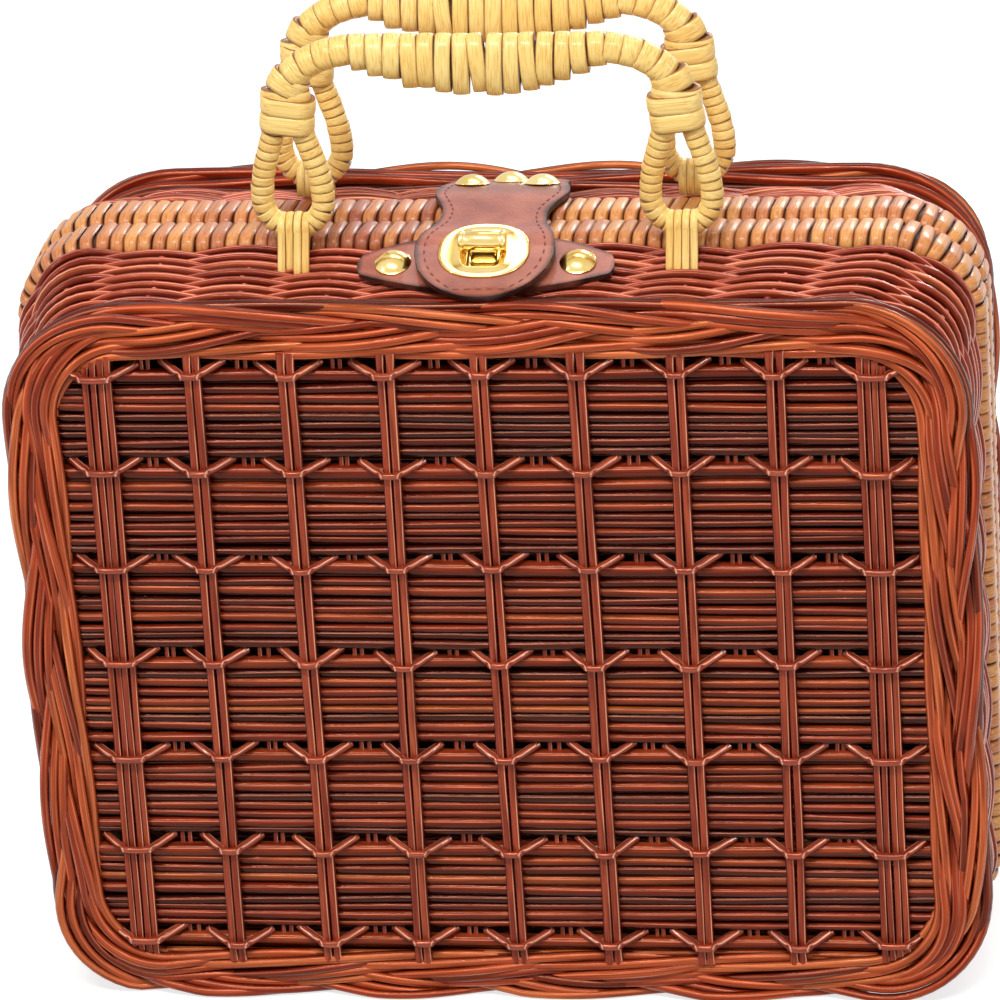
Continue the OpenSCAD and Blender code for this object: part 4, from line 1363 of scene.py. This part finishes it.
def leather_sheet(name, stations, half_at, point_at, across=23):
    """A leather piece lofted across its stations; rim is how far a point is from the cut, in centimetres."""
    verts, rims = [], []
    for station in stations:
        half = half_at(station)
        for j in range(across):
            share = math.sin(math.pi * (j / (across - 1) - 0.5))
            verts.append(point_at(share * half, station))
            ends = min(station - stations[0], stations[-1] - station)
            rims.append(100 * min(half * (1 - abs(share)), ends))
    faces = [(i * across + j, i * across + j + 1, (i + 1) * across + j + 1, (i + 1) * across + j)
             for i in range(len(stations) - 1) for j in range(across - 1)]
    piece = surface(name, verts, faces, LEATHER, rim=rims)
    thicken = piece.modifiers.new("Thickness", "SOLIDIFY")
    thicken.thickness = LEATHER_T
    thicken.offset = 0
    return piece


def apply_modifiers(piece):
    """Replaces a piece's mesh by its evaluated one and drops its modifiers."""
    graph = bpy.context.evaluated_depsgraph_get()
    mesh = bpy.data.meshes.new_from_object(piece.evaluated_get(graph))
    piece.modifiers.clear()
    piece.data = mesh
    outward(piece)


def soften(piece):
    """Rounds the cut edges of a leather piece."""
    bevel = piece.modifiers.new("Edge", "BEVEL")
    bevel.width = 0.45 * MM
    bevel.segments = 2
    bevel.limit_method = "ANGLE"
    bevel.angle_limit = math.radians(50)
    apply_modifiers(piece)


# %% Cut the hasp
SLOT_HALF = (4.6 * MM, 6.9 * MM)
SLOT_DEPTH = (-4 * MM, 12 * MM)
line_y, line_z = hasp_line()


def hasp_height(y):
    """Height of the hasp's middle layer at a place across the bag."""
    return float(np.interp(y, line_y, line_z))


tongue_stations = [clasp_y - TONGUE_R * math.cos(a) for a in np.linspace(0.06, math.pi / 2, 20)]
corner_stations = [base_end - BASE_CORNER + BASE_CORNER * math.sin(a) for a in np.linspace(0.1, 1.5, 8)]
neck_stations = list(np.linspace(clasp_y, base_end - BASE_CORNER, 44)[1:])
hasp = leather_sheet("hasp_leather", tongue_stations + neck_stations + corner_stations, hasp_half,
                     lambda x, y: (x, y, hasp_height(y)))


def slot_cutter():
    """A block that cuts the slot through the tongue."""
    corners = [(x * SLOT_HALF[0], y * SLOT_HALF[1], z) for z in SLOT_DEPTH
               for x, y in ((-1, -1), (1, -1), (1, 1), (-1, 1))]
    quads = [(0, 1, 2, 3), (4, 5, 6, 7), (0, 1, 5, 4), (1, 2, 6, 5), (2, 3, 7, 6), (3, 0, 4, 7)]
    return surface("slot_cutter", [clasp_point(*c) for c in corners], quads, LEATHER)


cutter = slot_cutter()
cut = hasp.modifiers.new("Slot", "BOOLEAN")
cut.object = cutter
cut.operation = "DIFFERENCE"
soften(hasp)
bpy.data.objects.remove(cutter)

# %% Cut the wing plate
WING_HALF = 34.0 * MM
WING_WIDE = 11.3 * MM
WING_END = 7.2 * MM
WING_DROOP = 0.9 * MM
WING_SEAT = 0.15 * MM
LENS_OVER = 6 * MM
wing_straight = WING_HALF - WING_END
lens_half = WING_HALF + LENS_OVER
lens_r = (lens_half ** 2 + WING_WIDE ** 2) / (2 * WING_WIDE)


def wing_half(x):
    """Half width of the wing plate: a lens with round ends."""
    lens = math.sqrt(lens_r ** 2 - x ** 2) - lens_r + WING_WIDE
    end = abs(x) - wing_straight
    return min(lens, math.sqrt(max(WING_END ** 2 - end ** 2, 0))) if end > 0 else lens


def wing_point(y, x):
    droop = WING_DROOP * (x / WING_HALF) ** 4
    return clasp_point(x, y, LEATHER_T / 2 + WING_SEAT - droop)


wing_round = [wing_straight + WING_END * math.sin(a) for a in np.linspace(0.0, 1.52, 12)]
wing_middle = list(np.linspace(-wing_straight, wing_straight, 40)[1:-1])
wing_stations = [-x for x in reversed(wing_round)] + wing_middle + wing_round
wing = leather_sheet("wing_leather", wing_stations, wing_half, wing_point)
soften(wing)
hand_over(hasp, "back_tray", "leather", "hasp_strap")
hand_over(wing, "front_tray", "leather", "wing_plate")
print("hasp and wing plate have", len(hasp.data.polygons) + len(wing.data.polygons), "faces")

# %% [markdown]
# ## Stitches and rivets
# A dark thread runs inside the hasp's edge, and domed rivets hold the leather. Both are one small shape set
# on points, so the turn tree serves again: a stitch is a small stretched ball, and a rivet is a dome spun
# from its profile.

# %% Sew and rivet
STITCH_IN = 2.6 * MM
STITCH_STEP = 3.0 * MM
STITCH_SIZE = (2.1 * MM, 0.55 * MM, 0.4 * MM)
STITCH_END = 20 * MM
RIVET_R = 4.9 * MM
RIVET_H = 2.6 * MM
WING_RIVETS = [(-24.5, 0.0), (24.5, 0.0)]
HASP_RIVETS = [(-9.5, 5.5), (9.5, 5.5), (0.0, -2.5)]


def spun(name, profile, count):
    """A closed shape spun about Z from (radius, height) points; the first and last lie on the axis."""
    verts = [(0, 0, profile[0][1])]
    for radius, height in profile[1:-1]:
        verts += [(x, y, height) for x, y in round_outline(count, radius)]
    verts.append((0, 0, profile[-1][1]))
    rings = len(profile) - 2
    last = 1 + (rings - 1) * count
    faces = [(0, 1 + (i + 1) % count, 1 + i) for i in range(count)]
    faces += ring_faces(rings, count, first=1)
    faces += [(last + i, last + (i + 1) % count, len(verts) - 1) for i in range(count)]
    return surface(name, verts, faces, BRASS)


def rivet_profile():
    """A low dome on a thin rolled rim."""
    dome_r = (RIVET_R ** 2 + RIVET_H ** 2) / (2 * RIVET_H)
    reach = math.asin(RIVET_R / dome_r)
    dome = [(dome_r * math.sin(a), RIVET_H - dome_r + dome_r * math.cos(a))
            for a in np.linspace(0.96 * reach, 0.12 * reach, 8)]
    return [(0, 0), (RIVET_R * 0.96, 0), (RIVET_R, 0.15 * MM)] + dome + [(0, RIVET_H)]


def stitch_places():
    stations = np.linspace(tip + STITCH_IN, STITCH_END, 240)
    right = [(max(hasp_half(y) - STITCH_IN, 0.0), y) for y in stations]
    line = [(-x, y) for x, y in reversed(right)] + right
    places = []
    for spot, way in zip(*resample(line, STITCH_STEP)):
        here, ahead = (hasp_height(y) + LEATHER_T / 2 for y in (spot[1], spot[1] + way[1]))
        direction = Vector((way[0], way[1], ahead - here))
        spin = direction.to_track_quat("X", "Z").to_matrix()
        places.append(((spot[0], spot[1], here), spin, STITCH_SIZE, 0.5))
    return places


def rivet_places(spots, back):
    tilt = Matrix.Rotation(-slope if back else slope, 3, "X")
    return [(clasp_point(x * MM, y * MM, LEATHER_T, back), tilt, (1, 1, 1), 0.5) for x, y in spots]


ball = spun("stitch", [(0, -0.5), (0.35, -0.36), (0.5, 0), (0.35, 0.36), (0, 0.5)], 8)
dome = spun("rivet", rivet_profile(), 32)
stitches = turns_piece("hasp_stitches", ball, stitch_places(), THREAD)
front_rivets = turns_piece("wing_rivet_domes", dome, rivet_places(WING_RIVETS, False), BRASS)
back_rivets = turns_piece("hasp_rivet_domes", dome, rivet_places(HASP_RIVETS, True), BRASS)
hand_over(stitches, "back_tray", "leather")
hand_over(front_rivets, "front_tray", "brass", "wing_rivets")
hand_over(back_rivets, "back_tray", "brass", "hasp_rivets")
for node in ("wing_rivet_burrs", "hasp_rivet_burrs", "lock_base"):
    frame["nodes"][node].material_slots[0].material = BRASS

# %% [markdown]
# ## The turn lock
# An oval brass plate with a raised lip lines the slot of the hasp, and a post with a banded crossbar stands
# through it. The plate is lofted from the oval to the slot, ring by ring. The crossbar is spun like the
# rivets and laid along X.

# %% Shape the brass lock
EYELET_HALF = (12.0 * MM, 10.5 * MM)
EYELET_RISE = 5.6 * MM
EYELET_CLEAR = 0.2 * MM
EYELET_RINGS = [(1.0, 0.0), (1.02, 0.25), (0.97, 0.55), (0.88, 0.6), (0.72, 0.5), (0.5, 0.62), (0.22, 1.0),
                (0.1, 1.05), (0.0, 0.85), (0.0, -0.9)]
BAR_HALF = 6.3 * MM
BAR_R = 2.7 * MM
BAR_RISE = 9.4 * MM
BAR_BANDS = [(-1.0, 0.80), (-0.97, 0.97), (-0.80, 1.0), (-0.76, 0.88), (-0.70, 0.88), (-0.66, 0.96),
             (0.66, 0.96), (0.70, 0.88), (0.76, 0.88), (0.80, 1.0), (0.97, 0.97), (1.0, 0.80)]
POST_HALF = (3.6 * MM, 2.0 * MM)
POST_RINGS = [(0.0, 1.0), (BAR_RISE - 2.6 * MM, 1.0), (BAR_RISE - 1.0 * MM, 0.8)]


def boxy(angle, half_x, half_y, power):
    """A point of a rounded box outline at an angle; a power of 2 gives an oval."""
    def one(value, half):
        return half * math.copysign(abs(value) ** (2 / power), value)
    return one(math.cos(angle), half_x), one(math.sin(angle), half_y)


def eyelet_piece(count=72):
    """Oval plate, dished, with a lip round the slot; the last ring closes under the plate."""
    slot_half = [half - EYELET_CLEAR for half in SLOT_HALF]
    verts = []
    for share, height in EYELET_RINGS:
        for i in range(count):
            angle = 2 * math.pi * i / count
            oval = boxy(angle, *EYELET_HALF, 2.3)
            slot = boxy(angle, *slot_half, 9)
            x, y = (slot[k] + (oval[k] - slot[k]) * share for k in range(2))
            verts.append(clasp_point(x, y, EYELET_RISE + height * MM))
    return surface("eyelet_plate", verts, ring_faces(len(EYELET_RINGS), count, closed=True), BRASS)


def crossbar_piece():
    """Crossbar with end bands and a groove beside each, spun about Z and then laid along X."""
    profile = [(0, -BAR_HALF)] + [(r * BAR_R, z * BAR_HALF) for z, r in BAR_BANDS] + [(0, BAR_HALF)]
    bar = spun("lock_crossbar", profile, 28)
    for vertex in bar.data.vertices:
        x, y, z = vertex.co
        vertex.co = clasp_point(z, y, BAR_RISE + x)
    outward(bar)
    return bar


def post_piece(count=24):
    """Flat post that carries the crossbar through the slot."""
    verts = []
    for height, grow in POST_RINGS:
        for i in range(count):
            x, y = boxy(2 * math.pi * i / count, POST_HALF[0] * grow, POST_HALF[1] * grow, 5)
            verts.append(clasp_point(x, y, height))
    caps = [tuple(range(count)), tuple(range(2 * count, 3 * count))]
    return surface("lock_post", verts, ring_faces(len(POST_RINGS), count) + caps, BRASS)


hand_over(eyelet_piece(), "back_tray", "brass", "hasp_eyelet")
hand_over(crossbar_piece(), "turn_lock", "brass", "lock_knob")
hand_over(post_piece(), "turn_lock", "brass")
for shape in (rim_turn, round_turn, collar_turn, ball, dome):
    bpy.data.objects.remove(shape)
print("brass lock shaped")

# %% [markdown]
# ## Studio
# The photograph is a plain studio shot on white. A long thin lamp hangs high in front and draws the glints on
# the rods. Two upright strips stand in front on the left and right, and two broader lamps light the top and
# the back. The floor is white to the camera and to mirrors, but still takes the bag's shadow.

# %% Floor and world
FLOOR_SIZE = 6.0
FLOOR_LIFT = 0.72
WORLD_LIGHT = 0.2


def seen_rays(tree):
    """1 for the rays that an eye follows: from the camera, off a mirror or through glass."""
    rays = tree.nodes.new("ShaderNodeLightPath")
    seen = rays.outputs["Is Camera Ray"]
    for kind in ("Is Glossy Ray", "Is Transmission Ray"):
        either = tree.nodes.new("ShaderNodeMath")
        either.operation = "MAXIMUM"
        tree.links.new(seen, either.inputs[0])
        tree.links.new(rays.outputs[kind], either.inputs[1])
        seen = either.outputs[0]
    return seen


def floor_finish():
    """White floor: plain diffuse, lifted for the camera and for mirrors so that it meets the white world."""
    make = Finish("studio_floor")
    grain = make.noise(40.0, 2.0)
    make.feed("Base Color", make.ramp(grain, [(0.0, (0.46, 0.46, 0.46, 1)), (1.0, (0.5, 0.5, 0.5, 1))]))
    make.fix("Roughness", 0.9)
    make.fix("Emission Color", WHITE)
    make.feed("Emission Strength", make.math("MULTIPLY", seen_rays(make.material.node_tree), FLOOR_LIFT))
    return make.material


def white_world():
    """White to the eye, and a dim even light on the bag."""
    world = bpy.data.worlds.new("studio_world")
    world.use_nodes = True
    tree = world.node_tree
    back = tree.nodes["Background"]
    strength = tree.nodes.new("ShaderNodeMapRange")
    strength.inputs["To Min"].default_value = WORLD_LIGHT
    strength.inputs["To Max"].default_value = 1.0
    tree.links.new(seen_rays(tree), strength.inputs["Value"])
    back.inputs["Color"].default_value = WHITE
    tree.links.new(strength.outputs["Result"], back.inputs["Strength"])
    bpy.context.scene.world = world


half = FLOOR_SIZE / 2
floor = surface("studio_floor", [(-half, -half, 0), (half, -half, 0), (half, half, 0), (-half, half, 0)],
                [(0, 1, 2, 3)], floor_finish())
white_world()

# %% Lamps
LAMP_AIM = Vector((0, 0, 0.12))
LAMPS = [  # name, place, width, height, power
    ("key_strip", (-0.15, -0.9, 1.45), 1.0, 0.06, 19.0),
    ("left_lamp", (-1.25, -0.75, 0.75), 0.05, 0.5, 5.0),
    ("right_lamp", (1.25, -0.75, 0.6), 0.05, 0.5, 5.0),
    ("top_lamp", (0.1, 0.5, 1.4), 0.8, 0.3, 5.0),
    ("back_lamp", (0.4, 1.4, 0.8), 0.6, 0.3, 10.0)]


def soft_lamp(name, place, wide, tall, power):
    lamp = bpy.data.lights.new(name, "AREA")
    lamp.shape = "RECTANGLE"
    lamp.size = wide
    lamp.size_y = tall
    lamp.energy = power
    lamp_object = bpy.data.objects.new(name, lamp)
    lamp_object.location = place
    lamp_object.rotation_euler = (LAMP_AIM - Vector(place)).to_track_quat("-Z", "Y").to_euler()
    bpy.context.scene.collection.objects.link(lamp_object)


for lamp_row in LAMPS:
    soft_lamp(*lamp_row)
print(len(LAMPS), "lamps are set")

# %% Camera
YAW, PITCH, ROLL = math.radians(8.5), math.radians(25.15), math.radians(3.69)
DISTANCE = 1.85
SCALE = 3.695
AIM = Vector((0, 0, 0.13))
AIM_PIXEL = (515.3, 490.3)
IMAGE_SIZE = 1000
SENSOR = 36.0


def photo_camera():
    """Camera at the photograph's angle: to the right of the front, looking down, with a slight roll."""
    data = bpy.data.cameras.new("photo_camera")
    data.sensor_width = SENSOR
    data.lens = SENSOR * SCALE * (DISTANCE / MM) / IMAGE_SIZE
    data.shift_x = (IMAGE_SIZE / 2 - AIM_PIXEL[0]) / IMAGE_SIZE
    data.shift_y = (AIM_PIXEL[1] - IMAGE_SIZE / 2) / IMAGE_SIZE
    data.clip_end = 50.0
    camera = bpy.data.objects.new("photo_camera", data)
    ahead = Vector((-math.sin(YAW) * math.cos(PITCH), math.cos(YAW) * math.cos(PITCH), -math.sin(PITCH)))
    camera.location = AIM - ahead * DISTANCE
    level = ahead.to_track_quat("-Z", "Y")
    camera.rotation_euler = (level.to_matrix() @ Matrix.Rotation(-ROLL, 3, "Z")).to_euler()
    bpy.context.scene.collection.objects.link(camera)
    bpy.context.scene.camera = camera


photo_camera()
bpy.context.scene.view_settings.view_transform = "Standard"
